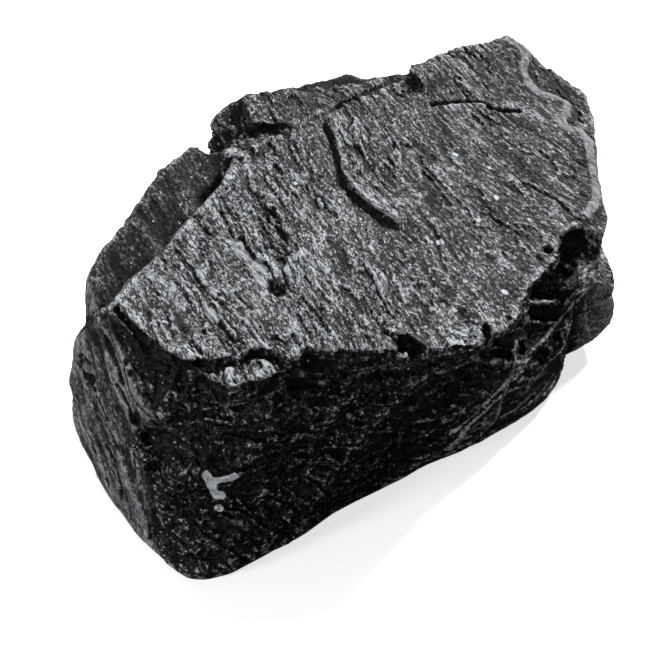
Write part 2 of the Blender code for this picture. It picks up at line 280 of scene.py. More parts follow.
# %% Strike the chips out
def hull(name, corners):
    """The convex block through the corners, which are in metres."""
    work = bmesh.new()
    for corner in corners:
        work.verts.new(corner)
    made = bmesh.ops.convex_hull(work, input=work.verts)
    loose = [v for v in made["geom_interior"] + made["geom_unused"] if isinstance(v, bmesh.types.BMVert)]
    bmesh.ops.delete(work, geom=list(set(loose)), context="VERTS")
    bmesh.ops.recalc_face_normals(work, faces=work.faces)
    mesh = bpy.data.meshes.new(name)
    work.to_mesh(mesh)
    work.free()
    return add(name, mesh)


def baked(piece, name):
    """A plain mesh of the piece with its modifiers worked out."""
    graph = bpy.context.evaluated_depsgraph_get()
    graph.update()
    mesh = bpy.data.meshes.new_from_object(piece.evaluated_get(graph), depsgraph=graph)
    mesh.name = name
    return mesh


cutters = bpy.data.collections.new("chip_cutters")
bpy.context.scene.collection.children.link(cutters)
for name, (_, chip_floor) in CHIPS.items():
    corners = np.array(chip_floor)
    out = BLOW_FROM - corners
    out /= np.linalg.norm(out, axis=1, keepdims=True)
    block = hull("chip " + name, [place(*c) for c in np.vstack([corners, corners + out * MOUTH])])
    cutters.objects.link(block)
    bpy.context.scene.collection.objects.unlink(block)

chipping = lump.modifiers.new("chips", "BOOLEAN")
chipping.operation = "DIFFERENCE"
chipping.operand_type = "COLLECTION"
chipping.collection = cutters
chipping.solver = "EXACT"
chipping.use_self = True
lump.data = baked(lump, "chipped")
lump.modifiers.clear()
for block in list(cutters.objects):
    bpy.data.objects.remove(block)
bpy.data.collections.remove(cutters)
print("struck", len(CHIPS), "chips;", len(lump.data.polygons), "faces now")

# %% [markdown]
# ## A skin fine enough to carve
# Relief needs many small, even faces. A voxel remesh gives them, and it also knits the cuts into one closed
# skin. Its stair steps are then eased by moving each point a little towards the middle of its neighbours.

# %% Measure and move the mesh's points
def corner_places(mesh):
    """The mesh's points in millimetres from the mark."""
    flat = np.empty(len(mesh.vertices) * 3, np.float32)
    mesh.vertices.foreach_get("co", flat)
    return flat.reshape(-1, 3).astype(float) / MM - np.array(MARK)


def set_corner_places(mesh, points):
    """Moves the mesh's points to these places, in millimetres from the mark."""
    mesh.vertices.foreach_set("co", ((points + np.array(MARK)) * MM).astype(np.float32).ravel())
    mesh.update()


def neighbour_mean(mesh, values):
    """Each point's mean over the points that share an edge with it."""
    ends = np.empty(len(mesh.edges) * 2, np.int32)
    mesh.edges.foreach_get("vertices", ends)
    ends = ends.reshape(-1, 2)
    count = len(mesh.vertices)
    here, there = np.concatenate([ends, ends[:, ::-1]]).T
    share = np.maximum(np.bincount(here, minlength=count), 1)
    columns = [np.bincount(here, weights=column[there], minlength=count) / share for column in values.T]
    return np.stack(columns, axis=1)


def corner_normals(mesh, passes):
    """The way out at each point, evened out over its neighbours."""
    flat = np.empty(len(mesh.vertices) * 3, np.float32)
    mesh.vertex_normals.foreach_get("vector", flat)
    out = flat.reshape(-1, 3).astype(float)
    for _ in range(passes):
        out = neighbour_mean(mesh, out)
    return out / np.maximum(np.linalg.norm(out, axis=1, keepdims=True), 1e-9)


# %% Remesh and ease
VOXEL = 0.32
EASE_FIRST = 4
EASE_AGAIN = 1


def fine_skin(piece, passes):
    """Gives the piece an even, closed skin and eases it."""
    remesh = piece.modifiers.new("fine skin", "REMESH")
    remesh.mode = "VOXEL"
    remesh.voxel_size = VOXEL * MM
    piece.data = baked(piece, "fine skin")
    piece.modifiers.clear()
    points = corner_places(piece.data)
    for _ in range(passes):
        points = points * 0.5 + neighbour_mean(piece.data, points) * 0.5
    points[:, 2] = np.maximum(points[:, 2], 0.0)
    set_corner_places(piece.data, points)
    print("fine skin:", len(points), "points")


fine_skin(lump, EASE_FIRST)

# %% [markdown]
# ## The top sheet
# The top is laid on its bedding plane. Its front edge is broken, so the sheet stops along a ragged line,
# and beyond it the next bed shows a little lower down. Steps, a crack, pits and the slope outside the
# rim are added to the height that the sheet is laid at. At the back a bridge of rough ground is filled
# in, up to the ledge. A sculpting brush could do all this, but lines with a height and a width can be read
# and changed. Then the skin is made even again, because steep steps stretch it.

# %% The bedding plane and the sheet's outline
BED_HEIGHT = 38.5
BED_FALL_RIGHT = 0.134
BED_FALL_FRONT = 0.14
BED_UP = np.array([BED_FALL_RIGHT, -BED_FALL_FRONT, 1.0])
BED_UP /= np.linalg.norm(BED_UP)
SHEET_DROP = 0.5  # the laid sheet lies this far under the bedding plane, to keep relief inside the solid
NEXT_BED = 1.9
SHEET_EDGE = np.array([
    (-47.4, 3.7), (-44.0, 3.8), (-41.8, 3.7), (-41.8, 1.8), (-41.8, -0.6), (-41.6, -2.9), (-41.3, -4.9),
    (-41.1, -6.8), (-40.9, -8.9), (-40.1, -10.8), (-39.0, -12.0), (-37.2, -13.2), (-35.3, -14.0),
    (-33.3, -14.8), (-31.7, -15.4), (-30.3, -15.3), (-28.6, -15.2), (-26.6, -16.0), (-25.3, -17.5),
    (-25.0, -19.5), (-24.5, -20.4), (-23.0, -20.4), (-21.8, -20.5), (-21.3, -21.3), (-20.6, -21.7),
    (-19.1, -20.6), (-17.6, -21.2), (-16.7, -22.2), (-15.2, -22.2), (-14.6, -23.1), (-14.1, -24.9),
    (-13.4, -26.6), (-12.9, -28.5), (-11.8, -29.6), (-10.2, -30.0), (-8.2, -29.5), (-7.0, -27.2),
    (-5.2, -24.3), (-3.5, -23.9), (-2.6, -25.2), (-2.2, -26.8), (-1.9, -28.8), (-1.4, -29.9), (0.0, -30.4),
    (2.5, -31.2), (5.0, -32.3), (6.9, -33.0), (8.2, -32.1), (9.5, -30.1), (11.8, -29.1), (11.1, -30.6),
    (9.6, -32.6), (11.2, -32.3), (13.1, -32.3), (14.7, -32.6), (16.8, -32.6), (18.7, -30.8), (20.4, -28.3),
    (22.0, -28.3), (23.6, -26.9), (25.3, -25.8), (26.8, -26.3), (29.2, -25.5), (31.5, -24.4), (33.8, -23.3),
    (35.8, -21.7), (37.5, -19.9), (40.0, -18.8), (42.2, -18.5), (43.8, -19.3), (42.9, -21.3), (42.9, -23.3),
    (42.8, -26.0), (43.6, -27.5)])
SHEET_BACK = np.array([(90.0, -40.0), (90.0, 80.0), (-80.0, 80.0), (-80.0, 3.7)])
SHEET = np.vstack([SHEET_EDGE, SHEET_BACK])
CORNER_BREAK = np.array([  # outline of the corner that a plate broke out of, where no next bed shows
    (-60.0, 3.2), (-41.8, 3.2), (-39.0, -11.0), (-38.2, -13.2), (-36.6, -18.4), (-36.6, -30.0),
    (-60.0, -30.0)])
FIN = [  # the leaf that stands up along the left end's edge
    (-44.1, 3.3, 44.1), (-43.9, 0.5, 42.4), (-44.0, -2.4, 40.7), (-44.4, -4.9, 38.8), (-44.9, -6.5, 36.2),
    (-45.2, -8.0, 34.1), (-45.4, -9.9, 32.6), (-45.0, -9.8, 30.2)]
BRIDGE = np.array([  # outline of the rough ground that joins the sheet to the back ledge
    (-0.8, 27.7), (2.9, 29.5), (6.3, 31.5), (9.8, 32.9), (13.6, 34.1), (18.9, 34.0), (23.9, 32.8),
    (28.1, 32.0), (30.0, 27.0), (26.0, 20.0), (15.9, 24.0), (8.8, 24.0), (2.9, 24.0), (-2.0, 26.0)])
print("corners in the sheet's broken edge:", len(SHEET_EDGE))

# %% Steps, crack, pits and rim
SCAR = np.array([
    (22.4, 27.2), (20.6, 23.4), (18.3, 19.3), (15.9, 15.3), (13.5, 11.6), (12.7, 9.0), (12.2, 5.7),
    (12.3, 1.8), (12.9, -1.8), (13.6, -4.2), (14.5, -5.9)])
STEPS = [  # line along the step's edge, height, and how soon it is lost; it is high on the line's left,
    # or on its right where the height is below nought
    (SCAR, 1.6, 8.0),
    ([(42.4, 38.0), (43.0, 31.0), (43.4, 26.0), (43.8, 21.8)], 2.6, 5.0),
    ([(-2.0, 17.0), (-3.6, 11.3), (-4.1, 8.6), (-5.7, 4.5), (-8.4, -0.7), (-14.1, -4.2)], 0.9, 3.5),
    ([(-13.0, 12.0), (-15.3, 5.8), (-16.2, 0.6), (-16.0, -4.4), (-18.0, -9.0)], -0.8, 3.5),
    ([(3.0, 2.0), (1.0, -4.0), (-1.5, -10.0), (-2.0, -15.0)], 0.6, 3.0),
    ([(12.0, -9.0), (9.5, -15.0), (8.0, -22.0)], -0.5, 3.0),
    ([(-24.0, 6.0), (-27.0, 0.0), (-28.0, -6.0)], 0.6, 3.0),
    ([(38.0, 13.0), (35.0, 6.0), (33.5, 0.0)], 0.6, 3.0),
    ([(24.0, 12.0), (22.0, 4.0), (20.0, -4.0), (19.0, -10.0)], 0.4, 3.0),
]
CRACK = np.array([
    (42.5, 19.8), (43.6, 19.6), (47.8, 17.8), (51.1, 15.9), (51.8, 13.9), (52.5, 12.6), (56.5, 10.7)])
CRACK_DEPTH = 1.6
CRACK_HALF_WIDTH = 0.36
PITS = [(-15.2, -5.2, 2.4, 1.7), (34.3, -20.6, 2.6, 0.7), (15.7, -30.4, 1.5, 0.5)]  # x, y, depth and reach
RIM = np.array([
    (68.1, 27.3), (68.5, 24.1), (68.0, 21.0), (64.7, 18.6), (62.9, 15.2), (63.1, 12.1), (65.3, 10.0),
    (66.6, 8.1), (64.0, 5.9), (61.2, 4.6), (60.8, 2.6), (63.1, 1.1), (62.0, -2.2), (58.6, -6.8),
    (54.4, -12.4), (51.3, -15.4), (47.6, -17.1)])
RIM_HALF_WIDTH = 1.1
RIM_OUTSIDE = (0.6, 1.6)  # how far past its line the rim ends
RIM_START = (1.0, 5.0)  # the stretch along its line over which the slope outside it begins
print("steps:", len(STEPS), "pits:", len(PITS))


# %% Measure from lines and outlines
def eased(values, low, high):
    """0 below low, 1 above high, with a soft step between."""
    t = np.clip((values - low) / (high - low), 0.0, 1.0)
    return t * t * (3.0 - 2.0 * t)


def along_line(places, line):
    """For each place: how far it is from the line of corners, on which side, and how far along the line."""
    best = np.full(len(places), 1e9)
    side = np.zeros(len(places))
    travelled = np.zeros(len(places))
    passed = 0.0
    for start, end in zip(line[:-1], line[1:]):
        step = end - start
        length = np.linalg.norm(step)
        offset = places - start
        t = np.clip(offset @ step / length**2, 0.0, 1.0)
        gap = offset - t[:, None] * step
        distance = np.linalg.norm(gap, axis=1)
        nearer = distance < best
        best = np.where(nearer, distance, best)
        if len(start) == 2:
            cross = step[0] * offset[:, 1] - step[1] * offset[:, 0]
            side = np.where(nearer, np.sign(cross), side)
        travelled = np.where(nearer, passed + t * length, travelled)
        passed += length
    return best, side, travelled


def inside_outline(places, outline):
    """Whether each flat place lies inside the closed outline."""
    found = np.zeros(len(places), bool)
    for (ax, ay), (bx, by) in zip(outline, np.roll(outline, -1, axis=0)):
        crosses = (ay > places[:, 1]) != (by > places[:, 1])
        found ^= crosses & (places[:, 0] < ax + (bx - ax) * (places[:, 1] - ay) / (by - ay + 1e-12))
    return found


def hump(gap, half_width):
    """1 where the gap is nothing, fading to nothing a few half widths away."""
    return np.exp(-((gap / half_width) ** 2))


def survey(mesh):
    """Places, normals, height over the bedding plane, and how squarely each point faces up from it."""
    points = corner_places(mesh)
    normals = corner_normals(mesh, 3)
    above = points[:, 2] - (BED_HEIGHT - BED_FALL_RIGHT * points[:, 0] + BED_FALL_FRONT * points[:, 1])
    return points, normals, above, normals @ BED_UP


# %% The height that the sheet is laid at
STEP_FOOT = 0.2
STEP_ENDS = (0.3, 4.0)  # how much of a step's line, and how many millimetres at most, each end fades over
RIM_SLOPE = 0.06
RIM_RIDGE = 0.45
FAR_RISE = 1.9  # how much higher the sheet lies at its far right corner
FAR_CORNER = ((42.0, 58.0), (8.0, 26.0))  # the stretches of x and of y that it rises over


def laid_step(places, line, height, reach):
    """A step in the bed: full height at its line, lost over the reach behind it and towards both ends."""
    gap, side, travelled = along_line(places, line)
    gap = gap * side
    length = travelled.max()
    rising = eased(gap, -STEP_FOOT, STEP_FOOT)
    if height < 0:
        rising, gap = 1.0 - rising, -gap
    lost = np.exp(-np.maximum(gap, 0) / reach)
    fade = min(length * STEP_ENDS[0], STEP_ENDS[1])
    ends = eased(travelled, 0.0, fade) * eased(length - travelled, 0.0, fade)
    return abs(height) * rising * lost * ends


points, normals, above_bed, faces_up = survey(lump.data)
x, y, z = points.T
flat = points[:, :2]

laid = -SHEET_DROP + sum(laid_step(flat, np.array(line), height, reach) for line, height, reach in STEPS)
rim_gap, rim_side, rim_run = along_line(flat, RIM)
laid -= RIM_SLOPE * np.maximum(rim_gap * rim_side, 0) * eased(rim_run, *RIM_START)
laid += RIM_RIDGE * (hump(rim_gap, RIM_HALF_WIDTH) - eased(rim_gap * rim_side, *RIM_OUTSIDE))
crack_gap, _, _ = along_line(flat, CRACK)
laid -= CRACK_DEPTH * hump(crack_gap, CRACK_HALF_WIDTH)
far_back = eased(x, *FAR_CORNER[0]) * eased(y, *FAR_CORNER[1])
laid += FAR_RISE * far_back
for across_pit, along_pit, deep, reach in PITS:
    laid -= deep * hump(np.hypot(x - across_pit, y - along_pit), reach)
print("laid heights, mm:", round(float(laid.min()), 2), "to", round(float(laid.max()), 2))

# %% The bed that shows past the broken edge
RAGGED_WIDE = 0.22
RAGGED_FINE = 0.12
EDGE_SOFT = 0.12
FOOT_DEPTH = 0.9  # how much deeper the next bed lies right under the sheet's edge
FOOT_WIDTH = 0.6
CORNER_SLOPE = 1.6

edge_gap, _, edge_run = along_line(flat, SHEET_EDGE)
edge_gap *= np.where(inside_outline(flat, SHEET), 1.0, -1.0)
wide_wave = np.sin(edge_run * 2.3 + 2.0 * np.sin(edge_run * 0.9))
edge_gap += RAGGED_WIDE * wide_wave + RAGGED_FINE * np.sin(edge_run * 5.1)
on_sheet = eased(edge_gap, -EDGE_SOFT, EDGE_SOFT)
next_bed = -NEXT_BED - FOOT_DEPTH * hump(edge_gap + FOOT_WIDTH, FOOT_WIDTH)
fin_gap, _, _ = along_line(flat, np.array(FIN)[:, :2])
corner_bed = -SHEET_DROP - CORNER_SLOPE * np.minimum(np.maximum(-edge_gap, 0.0), fin_gap)
next_bed = np.where(inside_outline(flat, CORNER_BREAK), corner_bed, next_bed)
print("share of points under the sheet:", round(float(on_sheet.mean()), 2))

# %% Lay the top sheet
CREST = (-3.6, -2.8)  # from how far under the bedding plane points count as the top
LEVEL = (0.62, 0.82)  # how squarely a point must face up before it is lifted
END_LIFTED = 0.3  # the far right end's edge is lifted too, though it faces out
BRIDGE_DROP = 1.2
BRIDGE_FALL = 0.3
BRIDGE_FRONT = 26.0
BRIDGE_WAVE = 0.5
BRIDGE_UNDER = 0.4
BRIDGE_FROM = (12.0, 16.0)  # the heights over which the bridge begins

edge_on = faces_up + END_LIFTED * eased(x, 38.0, 46.0) * eased(y, 2.0, 10.0)
can_rise = eased(edge_on, *LEVEL) * eased(above_bed, *CREST)
sheet_lift = np.where(above_bed > laid, 1.0, can_rise) * (laid - above_bed)
next_lift = np.minimum(next_bed - above_bed, 0.0)
points[:, 2] += sheet_lift * on_sheet + next_lift * (1.0 - on_sheet)

bridge = -BRIDGE_DROP - BRIDGE_FALL * np.maximum(y - BRIDGE_FRONT, 0.0)
bridge = bridge + BRIDGE_WAVE * np.sin(x * 0.9 + y * 0.4) * np.sin(y * 1.1)
low_enough = above_bed < -SHEET_DROP - BRIDGE_UNDER
to_bridge = np.maximum(bridge - above_bed, 0.0) * inside_outline(flat, BRIDGE) * low_enough
points[:, 2] += to_bridge * eased(z, *BRIDGE_FROM)
set_corner_places(lump.data, points)
print("top moved by, mm:", round(float(sheet_lift.min()), 2), "to", round(float(sheet_lift.max()), 2))
fine_skin(lump, EASE_AGAIN)

# %% [markdown]
# ## Which kind of face is where
# Every later step asks the same question of a point: is it on the bedding skin, on the leafy left end, or
# on a fresh break? The answer comes from where the point is and which way its face looks, eased so that
# single points don't stand out. The answers are kept on the mesh as named attributes.

# %% Zones
LEFT_ARRIS = [  # height, and the y that the leafy end begins at there
    (0.0, -15.5), (3.6, -12.3), (8.4, -11.1), (15.0, -10.3), (18.8, -7.1), (20.7, -4.6), (25.0, -5.5),
    (31.8, -11.0), (34.0, -7.5), (36.8, -5.5), (39.6, -2.6), (41.1, 1.1), (46.0, 4.0)]
CORNER_MARGIN = 0.25
SLAB_DEPTH = (-4.2, -3.4)
SLAB_LEVEL = (0.55, 0.75)
SHELF_DEPTH = (-22.0, -14.0)
SHELF_FROM = (2.0, 6.0)

points, normals, above_bed, faces_up = survey(lump.data)
x, y, z = points.T
flat = points[:, :2]

edge_gap = along_line(flat, SHEET_EDGE)[0] * inside_outline(flat, CORNER_BREAK)
corner = (edge_gap > CORNER_MARGIN) & ~inside_outline(flat, SHEET)
corner = neighbour_mean(lump.data, corner[:, None] * 1.0)[:, 0]
on_slab = eased(above_bed, *SLAB_DEPTH) * (1.0 - corner)
slab = eased(faces_up, *SLAB_LEVEL) * on_slab
shelf = eased(faces_up, *LEVEL) * eased(above_bed, *SHELF_DEPTH) * eased(y, *SHELF_FROM) * (1.0 - on_slab)
bed = slab + shelf
behind_arris = y - np.interp(z, *zip(*LEFT_ARRIS))
faces_left = eased(-normals[:, 0], 0.3, 0.55)
leafy = faces_left * eased(behind_arris, -0.3, 0.3) * eased(-x, 30.0, 34.0) * (1.0 - bed)
broken = np.clip(1.0 - bed - leafy, 0.0, 1.0)
facing_back = eased(normals[:, 1], -0.15, 0.35) * broken
right_end = eased(x, 44.0, 48.0) * broken
shares = {"bedding skin": bed, "leafy end": leafy, "fresh break": broken}
print("shares:", {name: round(float(share.mean()), 2) for name, share in shares.items()})

# %% [markdown]
# ## The grain's own directions
# Streaks, leaves and ribs are all long and narrow, so they need a direction to run along. Each point gets a
# place in its face's own grain: first across the grain, then along it. On the top the streaks bend to
# follow the scar. The breaks show the edges of the beds that they cut through, so there the streaks run
# level with the beds.

# %% Grain directions
GRAIN = np.array([-0.2707, -0.9627])
ACROSS = np.array([-GRAIN[1], GRAIN[0]])
LEAVES = np.array([0.0, 0.88, -0.47])
DOWN_LEAVES = np.array([0.0, -0.47, -0.88])
SCAR_PULL = 9.0
SCAR_STRAIGHT = 6  # how many of the scar's first corners lie on its straight stretch
STREAK_BEND = 0.05
TURN_MIDDLE = 0.12
TURN_RIGHT = 0.24
LEAFY_AWAY, BREAK_AWAY = 70, 150  # offsets that keep one face's pattern off the next one's

scar_gap, scar_side, scar_run = along_line(flat, SCAR)
scar_gap = scar_gap * scar_side
scar_length = scar_run.max()
across_bed = flat @ ACROSS
along_bed = flat @ GRAIN
pull = np.exp(-np.maximum(scar_gap, 0) / SCAR_PULL) * (scar_gap > 0) * eased(scar_length - scar_run, 0, 6)
scar_across = (SCAR[:SCAR_STRAIGHT] @ ACROSS).mean()
across_bed = across_bed * (1 - pull) + (scar_gap + scar_across) * pull
across_bed += STREAK_BEND * along_bed * np.sin(across_bed * 0.11 + 1.0)
turned = TURN_MIDDLE * eased(across_bed, 8.0, 20.0) + TURN_RIGHT * eased(across_bed, 30.0, 54.0)
across_bed -= turned * (along_bed + 5.0)

facing_side = eased(np.abs(normals[:, 0]), 0.5, 0.75)
crossed = eased(-x, 12.0, 24.0) * eased(20.0 - z, 0.0, 8.0) * eased(-y, 0.0, 5.0)
across_break = above_bed * (1 - 0.4 * crossed) + 0.75 * x * crossed
along_break = x * (1 - facing_side) + y * facing_side
flows = [
    np.stack([across_bed, along_bed, above_bed * 0.6], axis=1),
    np.stack([points @ LEAVES + LEAFY_AWAY, points @ DOWN_LEAVES, x * 0.3], axis=1),
    np.stack([across_break + BREAK_AWAY, along_break, y * 0.3], axis=1),
]
kind = np.stack([bed, leafy, broken], axis=1).argmax(axis=1)
flow = np.choose(kind[:, None], flows)
print("scar length, mm:", round(scar_length, 1))

# %% [markdown]
# ## Ridges and slits that have one place
# Noise can't put a slit where it belongs, so these are carved one by one. On the front, low ridges follow
# the lines where the break changed its way. On the left end, slits part the leaves, and one leaf stands up
# as a fin. The front leans in a little towards its foot, so its lowest part is drawn in as well.

# %% Placed relief
MARKS = {  # name: corners of the line, height, half width
    "front, upper": ([(-12.7, -20.4, 27.0), (-7.1, -20.5, 25.9), (-1.8, -22.3, 24.4), (4.9, -25.2, 21.6),
                      (9.4, -25.4, 20.9), (13.5, -25.6, 20.5)], 0.6, 0.6),
    "front, middle": ([(-21.4, -18.9, 28.2), (-16.1, -20.5, 25.2), (-11.3, -22.8, 22.6),
                       (-7.8, -24.0, 20.8), (-3.6, -24.4, 18.3), (5.3, -25.1, 11.7)], 0.6, 0.6),
    "front, left": ([(-33.3, -18.8, 23.2), (-28.1, -20.4, 22.9), (-22.6, -21.6, 21.1),
                     (-18.3, -23.1, 19.0)], 0.5, 0.6),
    "front, low": ([(-17.7, -22.4, 22.0), (-12.4, -24.2, 18.1), (-3.8, -23.6, 11.8), (3.3, -24.8, 11.2),
                    (8.0, -26.1, 12.4)], 0.45, 0.5),
    "front, right foot": ([(3.2, -27.0, 3.1), (6.9, -27.6, 5.7), (9.9, -28.2, 8.2), (13.8, -29.0, 11.0),
                           (15.8, -29.3, 12.2)], 0.5, 0.45),
    "front, right slope": ([(0.6, -25.3, 7.3), (4.8, -25.8, 9.6), (8.6, -26.8, 11.4), (12.5, -27.7, 13.0),
                            (16.6, -29.1, 13.5)], 0.4, 0.45),
    "stroke one": ([(-42.0, -12.2, 24.8), (-41.6, -14.4, 24.4), (-40.4, -16.1, 23.0)], -0.4, 0.4),
    "stroke two": ([(-37.4, -20.9, 14.7), (-36.2, -21.8, 12.8), (-35.5, -22.6, 11.4)], 0.4, 0.4),
    "stroke three": ([(-33.5, -23.3, 10.0), (-32.1, -24.1, 7.7), (-30.8, -25.0, 6.4)], 0.4, 0.4),
    "stroke four": ([(-24.9, -23.1, 15.1), (-23.3, -24.3, 13.5), (-21.2, -25.3, 12.0)], 0.4, 0.4),
    "fin": (FIN, 0.6, 0.5),
    "leaf slit one": ([(-45.3, 3.3, 39.2), (-45.4, 1.6, 37.1), (-45.7, -0.6, 35.2),
                       (-46.0, -1.8, 32.8)], -1.1, 0.4),
    "leaf slit two": ([(-45.9, 11.1, 28.5), (-46.0, 9.0, 27.2), (-46.2, 6.7, 25.7), (-47.0, 3.9, 25.0),
                       (-47.1, 1.8, 22.3)], -0.9, 0.35),
    "leaf slit three": ([(-46.3, -0.7, 31.8), (-46.3, -2.3, 30.3), (-46.1, -3.6, 28.0),
                         (-46.0, -4.4, 25.3)], -1.0, 0.35),
    "leaf slit four": ([(-45.5, -3.0, 38.6), (-46.1, -3.1, 35.7), (-46.0, -3.7, 32.2),
                        (-45.9, -5.8, 30.6)], -1.1, 0.4),
    "leaf slit five": ([(-47.1, 2.3, 15.7), (-47.0, 0.9, 13.9), (-47.7, -1.5, 14.1)], -0.9, 0.35),
    "leaf slit six": ([(-46.7, 9.3, 15.5), (-47.3, 6.9, 14.3), (-46.9, 6.2, 11.2)], -0.7, 0.35),
    "leaf slit seven": ([(-47.9, -4.2, 9.1), (-48.4, -5.9, 7.4), (-48.4, -6.7, 3.6)], -0.8, 0.32),
    "leaf slit eight": ([(-47.6, -1.3, 11.1), (-47.6, -2.1, 9.3), (-47.7, -1.3, 6.2)], -0.7, 0.32),
    "leaf slit nine": ([(-48.3, -10.8, 8.2), (-48.1, -10.6, 3.9)], -0.8, 0.32),
    "leaf slit ten": ([(-47.0, 4.2, 22.8), (-47.1, 2.4, 20.9), (-47.1, 0.1, 19.3)], -0.9, 0.35),
}
print("placed marks:", len(MARKS))

# %% Carve the marks, and draw the foot in
SLIT_PAINTED_SHADE = 0.9
FOOT_FROM = (-27.3, -17.3)  # the stretch of x over which the front's foot begins to be drawn in
FOOT_TO = (-9.5, 0.5)  # and the stretch of -x over which that ends
FOOT_HEIGHT = 10.0
FOOT_FRONT = (14.0, 22.0)
FOOT_IN = 1.0

outward = np.zeros(len(points))
slit_shade = np.zeros(len(points))
for line, height, half_width in MARKS.values():
    gap, _, run_along = along_line(points, np.array(line))
    profile = hump(gap, half_width) * eased(run_along, -0.5, 1.0)
    outward += height * profile * (1.0 - bed)
    # painted shade: the slits are painted darker along their lines
    if height < 0:
        slit_shade = np.minimum(slit_shade, -SLIT_PAINTED_SHADE * profile * (1.0 - bed))
points += normals * outward[:, None]
drawn_in = eased(x, *FOOT_FROM) * eased(-x, *FOOT_TO)
drawn_in *= eased(FOOT_HEIGHT - z, 0.0, FOOT_HEIGHT) * eased(-y, *FOOT_FRONT)
points[:, 1] += FOOT_IN * drawn_in
set_corner_places(lump.data, points)
print("carved in and out by, mm:", round(float(outward.min()), 2), "to", round(float(outward.max()), 2))

# %% [markdown]
# ## Painted shade and light, films and pale edges
# Some places have a look of their own: painted shade on each chip's floor and in hollows that no light
# gets into, painted light on some faces, pale mineral film, and long edges painted pale as wear and as
# highlight. Each becomes a number between -1 and 1 at every point, from how far the point is from a line, a
# middle or an outline. The finishes read these numbers later, so no place needs a material of its own.

# %% Places with a look of their own
HOLLOWS = [  # place, reach, shade
    ((41.5, -19.0, 24.0), 3.5, -0.3), ((23.5, -26.0, 17.2), 1.6, -0.3), ((-18.0, -20.6, 33.0), 2.6, -0.35),
    ((-12.5, -23.5, 32.5), 1.8, -0.3), ((-20.0, -17.5, 28.0), 2.6, -0.4), ((2.0, -28.5, 31.0), 2.5, -0.3),
    ((6.5, -30.5, 30.0), 2.5, -0.3), ((-45.0, -9.0, 23.5), 1.8, -0.3), ((-36.0, -14.0, 33.0), 3.0, -0.1),
]
PAINTED_LIGHT_AND_SHADE_FACES = [  # outline of a face, and the painted light (above nought) or painted shade (below) on it
    ([(4.1, -26.9, 2.4), (6.8, -27.8, 5.8), (9.6, -28.5, 8.6), (13.3, -29.0, 11.0), (16.4, -29.4, 12.8),
      (19.5, -28.5, 14.5), (17.9, -29.4, 13.2), (16.6, -29.6, 10.4), (15.7, -29.2, 7.5), (14.2, -28.4, 4.1),
      (11.9, -28.3, 3.0)], 0.75),
    ([(19.3, -29.3, 14.0), (23.8, -28.7, 9.9), (33.4, -25.8, 3.5), (31.0, -27.0, 2.0), (27.2, -28.2, 2.9),
      (18.6, -28.4, 2.9), (17.6, -29.6, 9.9)], 0.3),
    ([(-43.8, 3.6, 43.5), (-41.7, 3.6, 43.2), (-41.0, -3.9, 42.9), (-39.0, -12.0, 40.9),
      (-37.8, -14.5, 39.5), (-42.4, -13.5, 37.1), (-44.4, -8.0, 37.1), (-44.2, -5.0, 39.2),
      (-44.2, -1.3, 41.6)], -0.45),
    ([(-46.0, 9.0, 41.0), (-45.0, 5.5, 41.6), (-45.2, 3.4, 39.5), (-44.9, 2.1, 37.0), (-45.7, 4.1, 36.0),
      (-46.0, 6.9, 36.0)], -0.6),
    ([(36.9, -24.0, 13.2), (44.5, -21.4, 12.7), (45.2, -21.8, 5.7), (46.1, -21.7, 2.2),
      (38.0, -24.0, 4.0)], 0.2),
    ([(42.7, -18.7, 23.0), (43.9, -19.5, 23.8), (45.0, -21.2, 22.9), (47.5, -17.3, 17.2),
      (44.4, -17.9, 19.8)], 0.3),
    ([(33.0, -24.2, 28.2), (41.5, -19.1, 20.6), (40.9, -21.3, 20.0), (38.7, -21.6, 18.7),
      (37.6, -20.1, 19.8)], 0.3),
]
FILM_PATCHES = [  # line along the patch, and half its width
    ([(-40.9, -17.5, 19.9), (-40.4, -18.1, 18.9), (-40.4, -18.6, 17.8), (-40.4, -19.4, 16.5),
      (-39.5, -20.1, 16.0)], 0.75),
    ([(-40.4, -18.3, 18.3), (-39.6, -18.6, 18.6), (-37.7, -19.6, 18.7), (-36.6, -20.0, 18.8)], 0.6),
    ([(-40.5, -20.2, 14.0), (-40.3, -20.3, 13.7)], 0.7),
]
FLECKS = [  # x, y and half width of pale flecks on the top
    (17.9, -10.1, 0.75), (36.7, -13.3, 0.6), (35.5, -5.8, 0.6), (40.1, 1.0, 0.5), (36.1, 6.2, 0.6),
    (19.5, -25.3, 0.6), (32.9, -3.6, 0.5), (28.0, -9.0, 0.6), (15.0, -20.0, 0.5), (47.0, 3.0, 0.5),
    (51.0, -6.0, 0.5), (-8.0, 12.0, 0.5), (5.0, 14.0, 0.45), (30.0, 3.0, 0.5)]
SHEENS = [  # x, y and reach of painted sheens: smooth pale patches on the top that stand for reflections
    (-14.3, 6.5, 1.9), (-15.7, 3.5, 2.1), (-14.6, 0.2, 2.0), (-16.6, -3.2, 2.0), (-28.9, -5.3, 2.2),
    (6.7, 14.7, 2.0)]
print("hollows:", len(HOLLOWS), "faces:", len(PAINTED_LIGHT_AND_SHADE_FACES), "flecks:", len(FLECKS), "sheens:", len(SHEENS))
